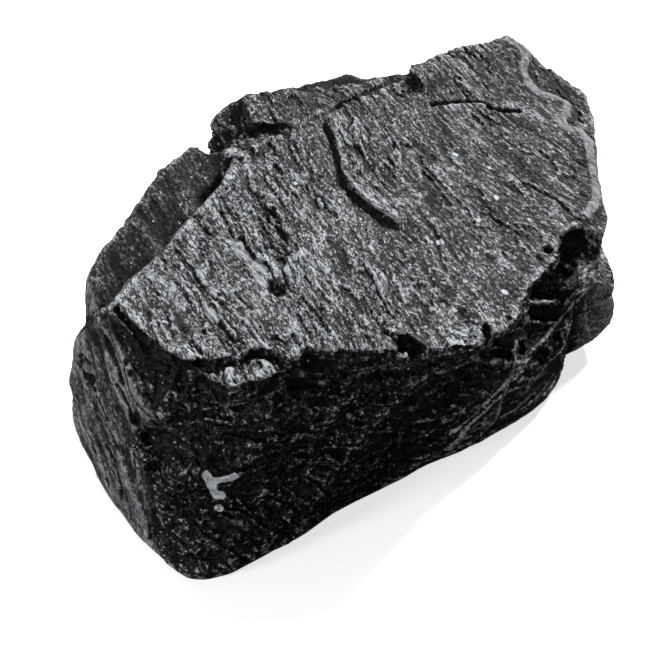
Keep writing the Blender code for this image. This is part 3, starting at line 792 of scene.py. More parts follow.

# %% Edges painted pale as wear and highlight
ARRISES = [  # lines where a break turns, painted pale as wear and as a highlight that catches the light
    [(20.3, -28.1, 31.2), (21.0, -28.4, 30.3), (20.9, -29.4, 28.5), (21.0, -29.4, 27.3)],
    [(22.5, -26.8, 21.5), (22.0, -26.3, 19.1), (20.9, -27.3, 18.3), (20.9, -27.7, 16.5),
     (19.8, -27.9, 15.3), (18.4, -28.7, 14.3), (17.4, -29.4, 13.0), (16.4, -29.6, 11.0), (15.9, -29.2, 8.1),
     (14.6, -28.4, 4.4), (11.9, -28.3, 3.0)],
    [(48.2, -17.9, 17.3), (46.8, -18.3, 17.0), (45.4, -19.6, 16.6), (44.5, -20.9, 15.0),
     (42.6, -20.9, 13.6), (39.4, -22.5, 15.1), (35.9, -23.8, 15.3), (32.0, -25.0, 15.3),
     (28.7, -25.9, 14.9), (25.7, -26.5, 15.1), (22.9, -27.1, 15.3), (21.0, -27.8, 16.2)],
    [(20.7, -28.2, 30.8), (24.0, -28.4, 29.1), (28.8, -27.4, 25.7), (33.5, -25.0, 21.5),
    (38.5, -22.5, 16.8)],
    [(41.8, -18.4, 20.7), (44.5, -17.8, 18.6), (46.4, -17.4, 17.2)],
    [(30.0, -25.7, 13.8), (32.6, -25.3, 10.5), (34.1, -25.0, 6.9)],
    [(35.3, -24.4, 13.2), (36.5, -24.2, 8.7)],
    [(21.1, -27.7, 16.3), (22.9, -27.5, 14.9), (24.2, -27.4, 14.5)],
    [(44.5, -21.4, 12.7), (44.3, -21.9, 9.2), (45.2, -21.8, 5.7), (46.5, -21.6, 1.7)],
    [(3.3, -27.0, 2.5), (6.7, -27.8, 5.6), (9.5, -28.6, 8.4), (12.4, -29.2, 10.5), (14.4, -29.6, 11.8)],
    [(5.8, -27.2, 7.5), (10.0, -27.9, 9.3), (13.0, -28.5, 11.4), (15.7, -29.3, 13.7), (19.2, -28.6, 14.5)],
    [(29.8, -24.3, 18.0), (34.6, -23.9, 15.4)],
    [(44.4, -19.2, 28.7), (45.8, -19.3, 26.0), (46.4, -20.9, 24.8)],
    FIN,
    [(-45.0, 5.4, 41.8), (-44.9, 3.4, 40.1), (-45.2, 1.0, 37.9), (-45.9, -1.5, 36.5), (-45.9, -2.5, 33.0),
     (-46.0, -5.6, 31.2), (-45.8, -6.5, 28.5)],
]
ARRIS_HALF_WIDTH = 0.42

arris = np.zeros(len(points))
for line in ARRISES:
    arris = np.maximum(arris, hump(along_line(points, np.array(line))[0], ARRIS_HALF_WIDTH))
print("points beside a rubbed edge:", int((arris > 0.5).sum()))


# %% Painted shade and light of the chips and faces
CHIP_THICKNESS = 0.8
ON_FLOOR = 0.2  # how surely a point must lie on a chip's floor to take its shade
FACE_REACH = 22.0  # how far from the middle of its outline a face may reach
BLOW = BLOW_FROM / np.linalg.norm(BLOW_FROM)


def seen_from_blow(places):
    """Each place as seen from the far point: two numbers that stay the same all along one blow."""
    ahead = -BLOW
    side = np.cross(ahead, (0.0, 0.0, 1.0))
    side /= np.linalg.norm(side)
    over = np.cross(side, ahead)
    offset = places - BLOW_FROM
    far = offset @ ahead
    return np.stack([offset @ side / far, offset @ over / far], axis=1)


seen = seen_from_blow(points)
shade = np.zeros(len(points))
for value, chip_floor in CHIPS.values():
    corners = np.array(chip_floor)
    out = np.cross(corners[1] - corners[0], corners[-1] - corners[0])
    out /= np.linalg.norm(out)
    on_floor = hump((points - corners[0]) @ out, CHIP_THICKNESS)
    on_floor = on_floor * inside_outline(seen, seen_from_blow(corners))
    shade = np.where(on_floor > ON_FLOOR, value, shade)
# painted light makes some faces paler, and painted shade makes a few on the left end darker
for outline, value in PAINTED_LIGHT_AND_SHADE_FACES:
    corners = np.array(outline)
    near = np.linalg.norm(points - corners.mean(axis=0), axis=1) < FACE_REACH
    here = inside_outline(seen, seen_from_blow(corners)) & near & (slab < 0.5)
    shade = np.where(here & (normals @ BLOW > 0), shade + value, shade)
print("shades from", round(float(shade.min()), 2), "to", round(float(shade.max()), 2))

# %% Shades of hollows, slits and steep ground
SHADE_PASSES = 2
LEDGE_SHADE = 0.35
CRACK_SHADE = 1.2
STEEP_SHADE = 0.5
STEEP = (0.60, 0.86)  # below this a point of the top faces away from straight up

for middle, reach, value in HOLLOWS:
    shade += value * hump(np.linalg.norm(points - np.array(middle), axis=1), reach) * (1.0 - slab)
for _ in range(SHADE_PASSES):
    shade = neighbour_mean(lump.data, shade[:, None])[:, 0]
# the ledge behind the sheet's back edge is made darker
shade -= LEDGE_SHADE * eased(y, 26.5, 28.5) * eased(-x, -34.0, -29.0) * slab
crack_gap, _, _ = along_line(flat, CRACK)
cracked = hump(crack_gap, CRACK_HALF_WIDTH) * slab
steep = (1.0 - eased(faces_up, *STEEP)) * eased(above_bed, *CREST) * eased(y, -14.0, -8.0)
shade += slit_shade - CRACK_SHADE * cracked - STEEP_SHADE * steep
print("shades now from", round(float(shade.min()), 2), "to", round(float(shade.max()), 2))

# %% Film, flecks, sheens and rim
NEAR_TOP = (-14.0, -9.0)
SHEEN_NARROW = 1.4  # how much narrower a sheen is across the lump than along it


def spot_of(gap, reach):
    """1 at the middle of a spot, one half at its edge, falling off evenly."""
    return np.clip(1.0 - gap / (2 * reach), 0, 1)


film = np.zeros(len(points))
for line, reach in FILM_PATCHES:
    film = np.maximum(film, spot_of(along_line(points, np.array(line))[0], reach))
for across_spot, along_spot, reach in FLECKS:
    film = np.maximum(film, spot_of(np.hypot(x - across_spot, y - along_spot), reach) * slab)
sheen = np.zeros(len(points))
for across_spot, along_spot, reach in SHEENS:
    gap = np.hypot((x - across_spot) * SHEEN_NARROW, y - along_spot)
    sheen = np.maximum(sheen, hump(gap, reach) * slab)
rim_gap, rim_side, rim_run = along_line(flat, RIM)
near_top = eased(above_bed, *NEAR_TOP)
rim = hump(rim_gap, RIM_HALF_WIDTH) * near_top
outside = eased(rim_gap * rim_side, *RIM_OUTSIDE) * eased(rim_run, *RIM_START) * near_top
print("points on film:", int((film > 0.5).sum()), "on sheens:", int((sheen > 0.5).sum()))

# %% Keep the answers on the mesh
KEY_FROM = np.array(BOXES["key"][0]) / np.linalg.norm(BOXES["key"][0])
COARSE_LEFT = (-22.0, 6.0)  # the stretch of -x over which the grain grows coarse
COARSE_BY_SCAR = 0.9


def keep(mesh, name, values):
    """Stores one number, or one vector, for each point."""
    kind, part = ("FLOAT", "value") if values.ndim == 1 else ("FLOAT_VECTOR", "vector")
    stored = mesh.attributes.new(name, kind, "POINT")
    stored.data.foreach_set(part, values.astype(np.float32).ravel())


plain = eased(x, 40.0, 46.0) * eased(-above_bed, 9.0, 13.0)  # the smooth block low at the right end
answers = {
    "bed": bed,
    "slab": slab,
    "leafy": leafy,
    "broken": broken,
    "back": np.maximum(facing_back, right_end * 0.5),
    "shelf": shelf,
    "rim": rim,
    "arris": arris,
    "sheen": sheen,
    "dim": outside,
    "shade": shade,
    "film": film,
    "flow": flow,
    "plain": plain,
    # painted light: faces of the low right block that turn from the key light are painted paler in the break
    "block": plain * (1.0 - eased(normals @ KEY_FROM, 0.1, 0.45)),
    "fine": np.maximum(arris, cracked),
    "coarse": np.maximum(eased(-x, *COARSE_LEFT), COARSE_BY_SCAR * pull),
    "far": eased(x, 40.0, 52.0),
}
for name, values in answers.items():
    keep(lump.data, name, values)
print("kept:", ", ".join(answers))

# %% [markdown]
# ## A short way to write node trees
# Relief and finish are both sums of noises. Written node by node they take pages, so a small class stands
# for one number in a tree: adding or multiplying two of them adds the Math node that does it. The same
# helpers serve Geometry Nodes and shader trees, because both know these nodes.

# %% Fields
TO_MM = (1000.0, 1000.0, 1000.0)


class Field:
    """One output of a node. Sums and products of fields add the nodes that work them out."""

    def __init__(self, tree, socket):
        self.tree = tree
        self.socket = socket

    def math(self, kind, *others):
        node = self.tree.nodes.new("ShaderNodeMath")
        node.operation = kind
        for socket, value in zip(node.inputs, (self,) + others):
            feed(self.tree, socket, value)
        return Field(self.tree, node.outputs[0])

    def __add__(self, other):
        return self.math("ADD", other)

    def __sub__(self, other):
        return self.math("SUBTRACT", other)

    def __mul__(self, other):
        return self.math("MULTIPLY", other)

    def __rsub__(self, other):
        return self.math("MULTIPLY", -1.0) + other

    __radd__ = __add__
    __rmul__ = __mul__

    def step(self, low, high):
        """0 below low, 1 above high, with a soft step between."""
        node = self.tree.nodes.new("ShaderNodeMapRange")
        node.interpolation_type = "SMOOTHSTEP"
        for name, value in (("Value", self), ("From Min", low), ("From Max", high)):
            feed(self.tree, node.inputs[name], value)
        return Field(self.tree, node.outputs["Result"])


# %% Vectors of fields
def feed(tree, socket, value):
    """Links a field to a socket, or sets the socket's own value."""
    if isinstance(value, Field):
        tree.links.new(value.socket, socket)
    else:
        socket.default_value = value


def vector(tree, *parts):
    """A vector field from three numbers or fields."""
    node = tree.nodes.new("ShaderNodeCombineXYZ")
    for socket, value in zip(node.inputs, parts):
        feed(tree, socket, value)
    return Field(tree, node.outputs[0])


def vector_math(field, kind, other):
    """Adds to, or multiplies, each part of a vector field."""
    node = field.tree.nodes.new("ShaderNodeVectorMath")
    node.operation = kind
    feed(field.tree, node.inputs[0], field)
    feed(field.tree, node.inputs[1], other)
    return Field(field.tree, node.outputs[0])


def parts_of(field):
    """The three numbers of a vector field."""
    node = field.tree.nodes.new("ShaderNodeSeparateXYZ")
    feed(field.tree, node.inputs[0], field)
    return [Field(field.tree, socket) for socket in node.outputs]


# %% Patterns of fields
def noise(field, sizes, detail=2.0, rough=0.5):
    """Soft noise, 0 to 1, whose lumps have these sizes in millimetres along the three parts of the field."""
    node = field.tree.nodes.new("ShaderNodeTexNoise")
    feed(field.tree, node.inputs["Vector"], vector_math(field, "MULTIPLY", tuple(1.0 / s for s in sizes)))
    node.inputs["Scale"].default_value = 1.0
    node.inputs["Detail"].default_value = detail
    node.inputs["Roughness"].default_value = rough
    return Field(field.tree, node.outputs[0])


def layered(field, sizes, count, detail=2.0):
    """Thin layers: the height climbs, and drops at once where soft noise passes each of its levels."""
    return (noise(field, sizes, detail) * count).math("FRACT") - 0.5


def cells(field, sizes, kind="F1"):
    """Cells of these sizes: the distance from each cell's middle, and a chance number for the whole cell."""
    node = field.tree.nodes.new("ShaderNodeTexVoronoi")
    node.feature = kind
    feed(field.tree, node.inputs["Vector"], vector_math(field, "MULTIPLY", tuple(1.0 / s for s in sizes)))
    node.inputs["Scale"].default_value = 1.0
    distance = Field(field.tree, node.outputs["Distance"])
    if kind == "DISTANCE_TO_EDGE":
        return distance, None
    return distance, parts_of(Field(field.tree, node.outputs["Color"]))[0]



# %% [markdown]
# ## Relief by Geometry Nodes
# The relief of each kind of face follows a rule, so Geometry Nodes carve it. On the bedding skin, long
# narrow cells stand at chance heights, like splinters of wood. On the left end the cells are broad leaves
# with slits between them. On the breaks there are fine ribs and small square-edged chips. The tree's inputs
# are the depths, so each can be turned up or down without touching the tree.

# %% Relief tree
RELIEF = {  # input: value, in millimetres except for the seed
    "Layer depth": 0.85,
    "Splinter depth": 0.22,
    "Streak depth": 0.22,
    "Swell": 0.8,
    "Pit depth": 0.5,
    "Leaf depth": 0.6,
    "Slit depth": 0.6,
    "Rib depth": 0.42,
    "Chip depth": 0.5,
    "Grit depth": 0.18,
    "Seed": 12.0,
}

relief = bpy.data.node_groups.new("coal relief", "GeometryNodeTree")
for name, kind in (("Geometry", "Geometry"), ("Skin", "Material"), ("Break", "Material")):
    relief.interface.new_socket(name, in_out="INPUT", socket_type="NodeSocket" + kind)
for name, value in RELIEF.items():
    socket = relief.interface.new_socket(name, in_out="INPUT", socket_type="NodeSocketFloat")
    socket.default_value = value
relief.interface.new_socket("Geometry", in_out="OUTPUT", socket_type="NodeSocketGeometry")
entry = relief.nodes.new("NodeGroupInput")
leave = relief.nodes.new("NodeGroupOutput")
knob = {name: Field(relief, entry.outputs[name]) for name in RELIEF}


def kept(name, kind="FLOAT"):
    """A named attribute of the mesh, as a field of the relief tree."""
    node = relief.nodes.new("GeometryNodeInputNamedAttribute")
    node.data_type = kind
    node.inputs["Name"].default_value = name
    return Field(relief, node.outputs["Attribute"])


where = Field(relief, relief.nodes.new("GeometryNodeInputPosition").outputs[0])
spot = vector_math(where, "MULTIPLY", TO_MM)
spot = vector_math(spot, "ADD", vector(relief, knob["Seed"], knob["Seed"] * 1.7, knob["Seed"] * 2.3))
seed_shift = vector(relief, knob["Seed"] * 11.0, knob["Seed"], 0.0)
run = vector_math(kept("flow", "FLOAT_VECTOR"), "ADD", seed_shift)

# the streaks wander a little from side to side
wander = (noise(run, (9, 28, 9)) - 0.5) * 5.5 + (noise(run, (2.6, 8, 3)) - 0.5) * 1.3
across, along, depth = parts_of(run)
bent = vector(relief, across + wander, along, depth)
streak = noise(bent, (0.8, 7.0, 4.0), detail=4.0, rough=0.62) - 0.5
print("inputs of the relief:", ", ".join(RELIEF))

# %% Relief of the bedding skin
layers = layered(bent, (5.5, 20, 8), 5.0)
thin_layers = layered(bent, (2.2, 13, 5), 4.5)
_, chance = cells(bent, (2.2, 12, 6))
swell = noise(bent, (9.0, 20.0, 9.0)) - 0.5
pit = noise(spot, (3.4, 3.4, 3.4), detail=1.0).step(0.70, 0.80)
uneven = noise(run, (10, 22, 10), detail=1.0).step(0.36, 0.62)
rough_side = (kept("coarse") * 0.35 + 0.65) * (uneven * 0.8 + 0.2)
grooved = 1.0 - kept("shelf") * 0.85
bed_height = (
    layers * knob["Layer depth"] * rough_side * grooved
    + thin_layers * knob["Layer depth"] * 0.45 * rough_side * grooved
    + (chance - 0.5) * knob["Splinter depth"] * rough_side * grooved
    + streak * knob["Streak depth"] * 2.0 * grooved * (kept("coarse") * 0.6 + 0.7)
    + swell * knob["Swell"] * (kept("shelf") * 1.2 + 1.0)
    - pit * knob["Pit depth"] * rough_side
)
print("nodes so far:", len(relief.nodes))

# %% Relief of the leafy end and the breaks
# leaves: broad plates whose edges run down the left end, with slits between
plates = layered(bent, (7.0, 60, 9), 2.6, detail=1.0)
slit_gap, _ = cells(bent, (3.4, 12, 6), "DISTANCE_TO_EDGE")
slit = (1.0 - slit_gap.step(0.02, 0.08)) * noise(run, (6, 12, 6)).step(0.55, 0.63)
leaf_height = (
    plates * knob["Leaf depth"]
    + streak * knob["Streak depth"] * 0.2
    - slit * knob["Slit depth"]
)

# breaks: thin shells that end along the streaks, and small flat-topped chips in patches
shells = layered(bent, (4.0, 22.0, 8.0), 5.0)
_, chip_chance = cells(spot, (2.6, 2.6, 2.6))
_, small_chance = cells(spot, (1.2, 1.2, 1.2))
crumbly = noise(spot, (13, 13, 13)).step(0.42, 0.60) * 0.85 + 0.15
break_height = (
    shells * knob["Rib depth"]
    + streak * knob["Rib depth"] * 0.9
    + ((chip_chance - 0.5) + (small_chance - 0.5) * 0.6) * knob["Chip depth"] * crumbly
) * (1.0 - kept("plain") * 0.7) * (1.0 - kept("rim") * 0.6) * (1.0 - kept("dim") * 0.6)
print("nodes so far:", len(relief.nodes))

# %% Put the relief together
REST_FROM, REST_TO = 0.3, 3.0  # the heights over the foot that the relief grows between

grit = (noise(spot, (0.55, 0.55, 0.55), detail=2.0) - 0.5) * 2.0 * knob["Grit depth"]
height = kept("bed") * bed_height + kept("leafy") * leaf_height + kept("broken") * break_height + grit

# nothing is carved where the lump rests on its flat face
height = height * (parts_of(where)[2] * 1000.0).step(REST_FROM, REST_TO)

facing = relief.nodes.new("GeometryNodeInputNormal")
offset = vector_math(Field(relief, facing.outputs[0]), "MULTIPLY", vector(relief, height, height, height))
offset = vector_math(offset, "MULTIPLY", (MM, MM, MM))
carve = relief.nodes.new("GeometryNodeSetPosition")
relief.links.new(entry.outputs["Geometry"], carve.inputs["Geometry"])
relief.links.new(offset.socket, carve.inputs["Offset"])

realize = relief.nodes.new("GeometryNodeRealizeInstances")
relief.links.new(carve.outputs["Geometry"], realize.inputs["Geometry"])
skin_first = relief.nodes.new("GeometryNodeSetMaterial")
relief.links.new(realize.outputs["Geometry"], skin_first.inputs["Geometry"])
relief.links.new(entry.outputs["Skin"], skin_first.inputs["Material"])
then_break = relief.nodes.new("GeometryNodeSetMaterial")
relief.links.new(skin_first.outputs["Geometry"], then_break.inputs["Geometry"])
relief.links.new(entry.outputs["Break"], then_break.inputs["Material"])
relief.links.new(kept("broken").math("GREATER_THAN", 0.5).socket, then_break.inputs["Selection"])
relief.links.new(then_break.outputs["Geometry"], leave.inputs["Geometry"])

print("nodes in the relief:", len(relief.nodes))

# %% Carve
skin = bpy.data.materials.new("coal_skin")
fresh = bpy.data.materials.new("coal_break")
carving = lump.modifiers.new("relief", "NODES")
carving.node_group = relief
given = {"Skin": skin, "Break": fresh, **RELIEF}
for socket in relief.interface.items_tree:
    if socket.item_type == "SOCKET" and socket.in_out == "INPUT" and socket.name in given:
        carving[socket.identifier] = given[socket.name]
lump.data = baked(lump, "carved")
lump.modifiers.clear()
print("carved:", len(lump.data.vertices), "points, finishes", [m.name for m in lump.data.materials])

# %% [markdown]
# ## Thin the mesh
# The fine skin has far more triangles than the part may carry. Decimate takes away those that lie flat and
# keeps the ones that make an edge. It knows nothing of attributes, so thin bright lines would grow ragged: a
# vertex group keeps the points beside the edges painted pale and the crack out of its reach. It can also
# leave a few faces lying on one another, and validate takes those away.

# %% Thin
MOST_TRIANGLES = 192_000
FINE_LINE = 0.02  # a point with more than this of the attribute "fine" lies beside such a line

fine_lines = np.zeros(len(lump.data.vertices), np.float32)
lump.data.attributes["fine"].data.foreach_get("value", fine_lines)
may_thin = lump.vertex_groups.new(name="may thin")
kept_fine = fine_lines > FINE_LINE
may_thin.add([int(i) for i in np.flatnonzero(~kept_fine)], 1.0, "REPLACE")
print("kept fine:", int(kept_fine.sum()), "points beside the rubbed lines and the crack")

thin = lump.modifiers.new("thin", "DECIMATE")
thin.vertex_group = may_thin.name
lump.data.calc_loop_triangles()
thin.ratio = MOST_TRIANGLES / len(lump.data.loop_triangles)
thin.use_collapse_triangulate = True
lump.data = baked(lump, "coal_lump_surface")
lump.modifiers.clear()
lump.vertex_groups.clear()
lump.data.validate()
points = corner_places(lump.data)
points[:, 2] = np.maximum(points[:, 2], 0.0)
set_corner_places(lump.data, points)
lump.data.calc_loop_triangles()
print("thinned to", len(lump.data.loop_triangles), "triangles")

# %% [markdown]
# ## Where edges are worn pale and hollows get painted shade
# Handling rubs edges pale, and hollows are painted darker, as painted shade. How much a point stands out
# from the mean of its neighbours says which it is; it is measured close up and again more broadly.

# %% Edges and hollows
EDGE_PASSES = 2
BROAD_PASSES = 14
EDGE_FULL = 0.10  # standing out by this many millimetres counts in full
BROAD_FULL = 0.35
NORMAL_PASSES = 4

normals = corner_normals(lump.data, NORMAL_PASSES)
spread = points.copy()
stands_out = {}
for turn in range(1, BROAD_PASSES + 1):
    spread = neighbour_mean(lump.data, spread)
    if turn in (EDGE_PASSES, BROAD_PASSES):
        stands_out[turn] = ((points - spread) * normals).sum(axis=1)
keep(lump.data, "edge", np.clip(stands_out[EDGE_PASSES] / EDGE_FULL, -1, 1))
keep(lump.data, "broad", np.clip(stands_out[BROAD_PASSES] / BROAD_FULL, -1, 1))
print("stands out, mm:", {turn: round(float(np.abs(v).mean()), 3) for turn, v in stands_out.items()})

# %% [markdown]
# ## Two effects that both finishes share
# Streaks run along the grain, and grit is the same in every direction. Each is a shader node group that
# takes a place and one amount as inputs, and each material uses them with its own values.

# %% An empty effect
def effect(name, inputs, outputs):
    """An empty shader node group: its tree, its inputs as fields, and the node its outputs go to."""
    tree = bpy.data.node_groups.new(name, "ShaderNodeTree")
    for label, value in inputs.items():
        kind = "NodeSocketVector" if value is None else "NodeSocketFloat"
        socket = tree.interface.new_socket(label, in_out="INPUT", socket_type=kind)
        if value is not None:
            socket.default_value = value
    for label, kind in outputs.items():
        tree.interface.new_socket(label, in_out="OUTPUT", socket_type=kind)
    entry = tree.nodes.new("NodeGroupInput")
    leave = tree.nodes.new("NodeGroupOutput")
    return tree, {label: Field(tree, entry.outputs[label]) for label in inputs}, leave


NUMBER, DIRECTION = "NodeSocketFloat", "NodeSocketVector"

# %% Grain streaks
grain_group, knob, leave = effect(
    "grain streaks", {"Flow": None, "Wander": 1.2}, {"Streak": NUMBER, "Fine streak": NUMBER})
run = knob["Flow"]
across, along, depth = parts_of(run)
bent = vector(grain_group, across + (noise(run, (4, 14, 5)) - 0.5) * 2.0 * knob["Wander"], along, depth)
feed(grain_group, leave.inputs["Streak"], noise(bent, (0.9, 9, 4), 4, 0.6))
feed(grain_group, leave.inputs["Fine streak"], noise(bent, (0.32, 2.6, 2.6), 3, 0.6))
print(grain_group.name, "has", len(grain_group.nodes), "nodes")


# %% Grit
def chance_tilt(field, size):
    """For each small cell, a chance direction: three numbers from -0.5 to 0.5."""
    node = field.tree.nodes.new("ShaderNodeTexVoronoi")
    feed(field.tree, node.inputs["Vector"], vector_math(field, "MULTIPLY", (1 / size,) * 3))
    node.inputs["Scale"].default_value = 1.0
    return vector_math(Field(field.tree, node.outputs["Color"]), "SUBTRACT", (0.5, 0.5, 0.5))


grit_group, knob, leave = effect(
    "grit", {"Place": None, "Speck share": 0.1},
    {"Grit": NUMBER, "Clump": NUMBER, "Grain": NUMBER, "Speck": NUMBER, "Tilt": DIRECTION})
spot = knob["Place"]
feed(grit_group, leave.inputs["Grit"], noise(spot, (0.34, 0.34, 0.34), 3, 0.7))
feed(grit_group, leave.inputs["Clump"], noise(spot, (1.8, 1.8, 1.8), 3, 0.6))
_, fine_chance = cells(spot, (0.27, 0.27, 0.27))
_, coarse_chance = cells(spot, (0.5, 0.5, 0.5))
feed(grit_group, leave.inputs["Grain"], fine_chance * 0.6 + coarse_chance * 0.4)
speck_far, speck_chance = cells(spot, (0.8, 0.8, 0.8))
chosen = (speck_chance + knob["Speck share"] - 1.0).math("GREATER_THAN", 0.0)
speck = (1.0 - speck_far.step(0.14, 0.30)) * chosen
feed(grit_group, leave.inputs["Speck"], speck)
small_tilt = vector_math(chance_tilt(spot, 0.42), "MULTIPLY", (1.2, 1.2, 1.2))
feed(grit_group, leave.inputs["Tilt"], vector_math(small_tilt, "ADD", chance_tilt(spot, 0.95)))
print(grit_group.name, "has", len(grit_group.nodes), "nodes")

# %% [markdown]
# ## Helpers for the finishes
# Coal has hardly any colour. A finish is a sum of patterns, called its tone, that a ramp then turns into
# greys. Over that grey come paler things, each mixed in where its own number says so.

# %% Read attributes and effects
def attribute(tree, name, kind="Fac"):
    """An attribute of the piece, as a field of the material."""
    node = tree.nodes.new("ShaderNodeAttribute")
    node.attribute_name = name
    return Field(tree, node.outputs[kind])


def use(tree, group, **inputs):
    """Places a shared effect in a material and gives its outputs as fields."""
    node = tree.nodes.new("ShaderNodeGroup")
    node.node_tree = group
    for name, value in inputs.items():
        feed(tree, node.inputs[name.replace("_", " ")], value)
    return {socket.name: Field(tree, socket) for socket in node.outputs}


# %% Colours and normals
COOL = (0.94, 0.99, 1.05)  # the lump's greys lean a little to blue


def coloured(grey):
    """The lump's own colour of this grey."""
    return (*(grey * part for part in COOL), 1.0)


def ramp(field, stops):
    """A colour from a number, by stops of position and grey."""
    node = field.tree.nodes.new("ShaderNodeValToRGB")
    feed(field.tree, node.inputs[0], field)
    while len(node.color_ramp.elements) < len(stops):
        node.color_ramp.elements.new(0.5)
    for element, (position, grey) in zip(node.color_ramp.elements, stops):
        element.position = position
        element.color = coloured(grey)
    return Field(field.tree, node.outputs[0])


def mix(low, high, by):
    """One colour field over another, or over a grey."""
    tree = by.tree
    node = tree.nodes.new("ShaderNodeMix")
    node.data_type = "RGBA"
    for name, value in (("A", low), ("B", high)):
        feed(tree, node.inputs[name], value if isinstance(value, Field) else coloured(value))
    feed(tree, node.inputs["Factor"], by)
    return Field(tree, node.outputs["Result"])


def bump(height, distance, strength=1.0):
    """A Bump node's normal from a height in millimetres."""
    node = height.tree.nodes.new("ShaderNodeBump")
    node.inputs["Strength"].default_value = strength
    node.inputs["Distance"].default_value = distance
    feed(height.tree, node.inputs["Height"], height)
    return Field(height.tree, node.outputs["Normal"])


def tilted(normal, tilt, amount):
    """The normal, leaning by each small facet's own chance tilt."""
    leaning = vector_math(normal, "ADD", vector_math(tilt, "MULTIPLY", (amount,) * 3))
    node = normal.tree.nodes.new("ShaderNodeVectorMath")
    node.operation = "NORMALIZE"
    feed(normal.tree, node.inputs[0], leaning)
    return Field(normal.tree, node.outputs[0])


def start_finish(material, specular):
    """The material's tree, its Principled shader and its place in millimetres."""
    material.use_nodes = True
    tree = material.node_tree
    shader = tree.nodes["Principled BSDF"]
    shader.inputs["Specular IOR Level"].default_value = specular
    where = tree.nodes.new("ShaderNodeTexCoord")
    return tree, shader, vector_math(Field(tree, where.outputs["Object"]), "MULTIPLY", TO_MM)


print("half grey is", coloured(0.5))

# %% [markdown]
# ## The finish of the skin
# The bedding skin is a dull grey with paler streaks, painted sheens that stand for reflections, and a
# painted highlight along its rim. Each weight in the tone says how much one pattern counts, and how much
# less it counts on the leafy end and on the shelf at the back. The skin's facets lean by chance, which gives
# the glitter of broken grains.

# %% The skin's tone
SKIN_SPECULAR = 0.32
SKIN_SPECKS = 0.06
SKIN_BASE = 0.29
SKIN_GREYS = [(0.0, 0.001), (0.25, 0.010), (0.5, 0.085), (0.75, 0.21), (1.0, 0.42)]
ALONG_GRAIN = (1.35, 0.6, 1.35)  # the skin's grit is drawn out along the grain

tree, shader, _ = start_finish(skin, SKIN_SPECULAR)
flow_here = attribute(tree, "flow", "Vector")
streaks = use(tree, grain_group, Flow=flow_here, Wander=1.0)
grit = use(tree, grit_group, Place=vector_math(flow_here, "MULTIPLY", ALONG_GRAIN), Speck_share=SKIN_SPECKS)
shelf_here = attribute(tree, "shelf")
rim_here = attribute(tree, "rim")
leafy_here = attribute(tree, "leafy")
coarse_here = attribute(tree, "coarse")
patch = noise(flow_here, (5.0, 16.0, 6.0))
tone = (
    (streaks["Streak"] - 0.5) * (1.0 + coarse_here * 0.5 - leafy_here * 1.2 - shelf_here)
    + (streaks["Fine streak"] - 0.5) * (0.5 - leafy_here * 0.3 - shelf_here * 0.3)
    + (grit["Grain"] - 0.5) * (1.7 - leafy_here * 0.8 - shelf_here * 0.5)
    + (grit["Grit"] - 0.5) * (1.3 - leafy_here * 0.6)
    + (grit["Clump"] - 0.5) * (0.9 - leafy_here * 0.4)
    + (patch - 0.5) * (0.9 - leafy_here * 0.4)
    # painted light and shade of the chips, faces, hollows, slits, crack and steep ground
    + attribute(tree, "shade") * 0.6
    # the edges where a break turns are painted pale, as wear and as highlight
    + attribute(tree, "arris") * 0.40
    + SKIN_BASE
    # paler where a point stands out, as wear; darker in hollows, as painted shade
    + attribute(tree, "edge") * 0.22
    + attribute(tree, "broad") * 0.22
    - shelf_here * 0.42
    - (1.0 - coarse_here) * 0.06
    - attribute(tree, "far") * 0.03
    - attribute(tree, "dim") * 0.10
    + coarse_here * 0.10
    - leafy_here * 0.02
)
grey = ramp(tone, SKIN_GREYS)
print("greys of the skin:", [round(value, 3) for _, value in SKIN_GREYS])

# %% The skin's painted rim highlight, painted sheens, specks and film
PALE_GREYS = [(0.0, 0.10), (1.0, 0.38)]
SPECK_GREY = 0.7
SKIN_FILM_GREY = 0.6

# painted highlight: the rim, which faces the key light, is painted pale
wear_and_painted_highlight = (rim_here + (grit["Clump"] - 0.5) * 0.6).step(0.45, 0.75)
# painted sheen: pale patches that stand for reflections on the top
smooth = (attribute(tree, "sheen") + (grit["Clump"] - 0.5) * 0.6).step(0.40, 0.60)
pale = ramp(0.5 + (grit["Grain"] - 0.5) * 0.8 + smooth * 0.35, PALE_GREYS)
grey = mix(grey, pale, wear_and_painted_highlight.math("MAXIMUM", smooth) * 0.85)
grey = mix(grey, SPECK_GREY, grit["Speck"] * 0.75)
film_here = (attribute(tree, "film") + (grit["Clump"] - 0.5) * 0.5).step(0.47, 0.53)
grey = mix(grey, SKIN_FILM_GREY, film_here * 0.9)
hue = vector(tree, (grit["Grit"] - 0.5) * 0.35 + 1.0, 1.0, (grit["Clump"] - 0.5) * 0.3 + 1.0)
feed(tree, shader.inputs["Base Color"], vector_math(grey, "MULTIPLY", hue))
rough = 0.72 - (streaks["Streak"] - 0.5) * 0.9 - (patch - 0.5) * 0.8 + shelf_here * 0.2
feed(tree, shader.inputs["Roughness"], rough)
height = streaks["Streak"] * (0.45 - leafy_here * 0.3) + streaks["Fine streak"] * 0.1 + grit["Grit"] * 0.3
feed(tree, shader.inputs["Normal"], tilted(bump(height, MM * 0.9), grit["Tilt"], 0.45))
print("nodes in the skin:", len(tree.nodes))

# %% [markdown]
# ## The finish of the breaks
# A fresh break is nearly black and glossy, and shows pale on its edges, painted pale as wear and highlight,
# in small painted glints, and where painted light falls on its rim and a few faces. It uses the same two
# effects as the skin. Its ramp stays near black for most of its length, so that only the strongest grains
# and the pale edges come through.

# %% The break's tone
BREAK_SPECULAR = 0.24
BREAK_SPECKS = 0.09
BREAK_BASE = 0.18
BREAK_GREYS = [(0.0, 0.0006), (0.35, 0.0025), (0.55, 0.012), (0.75, 0.07), (1.0, 0.4)]

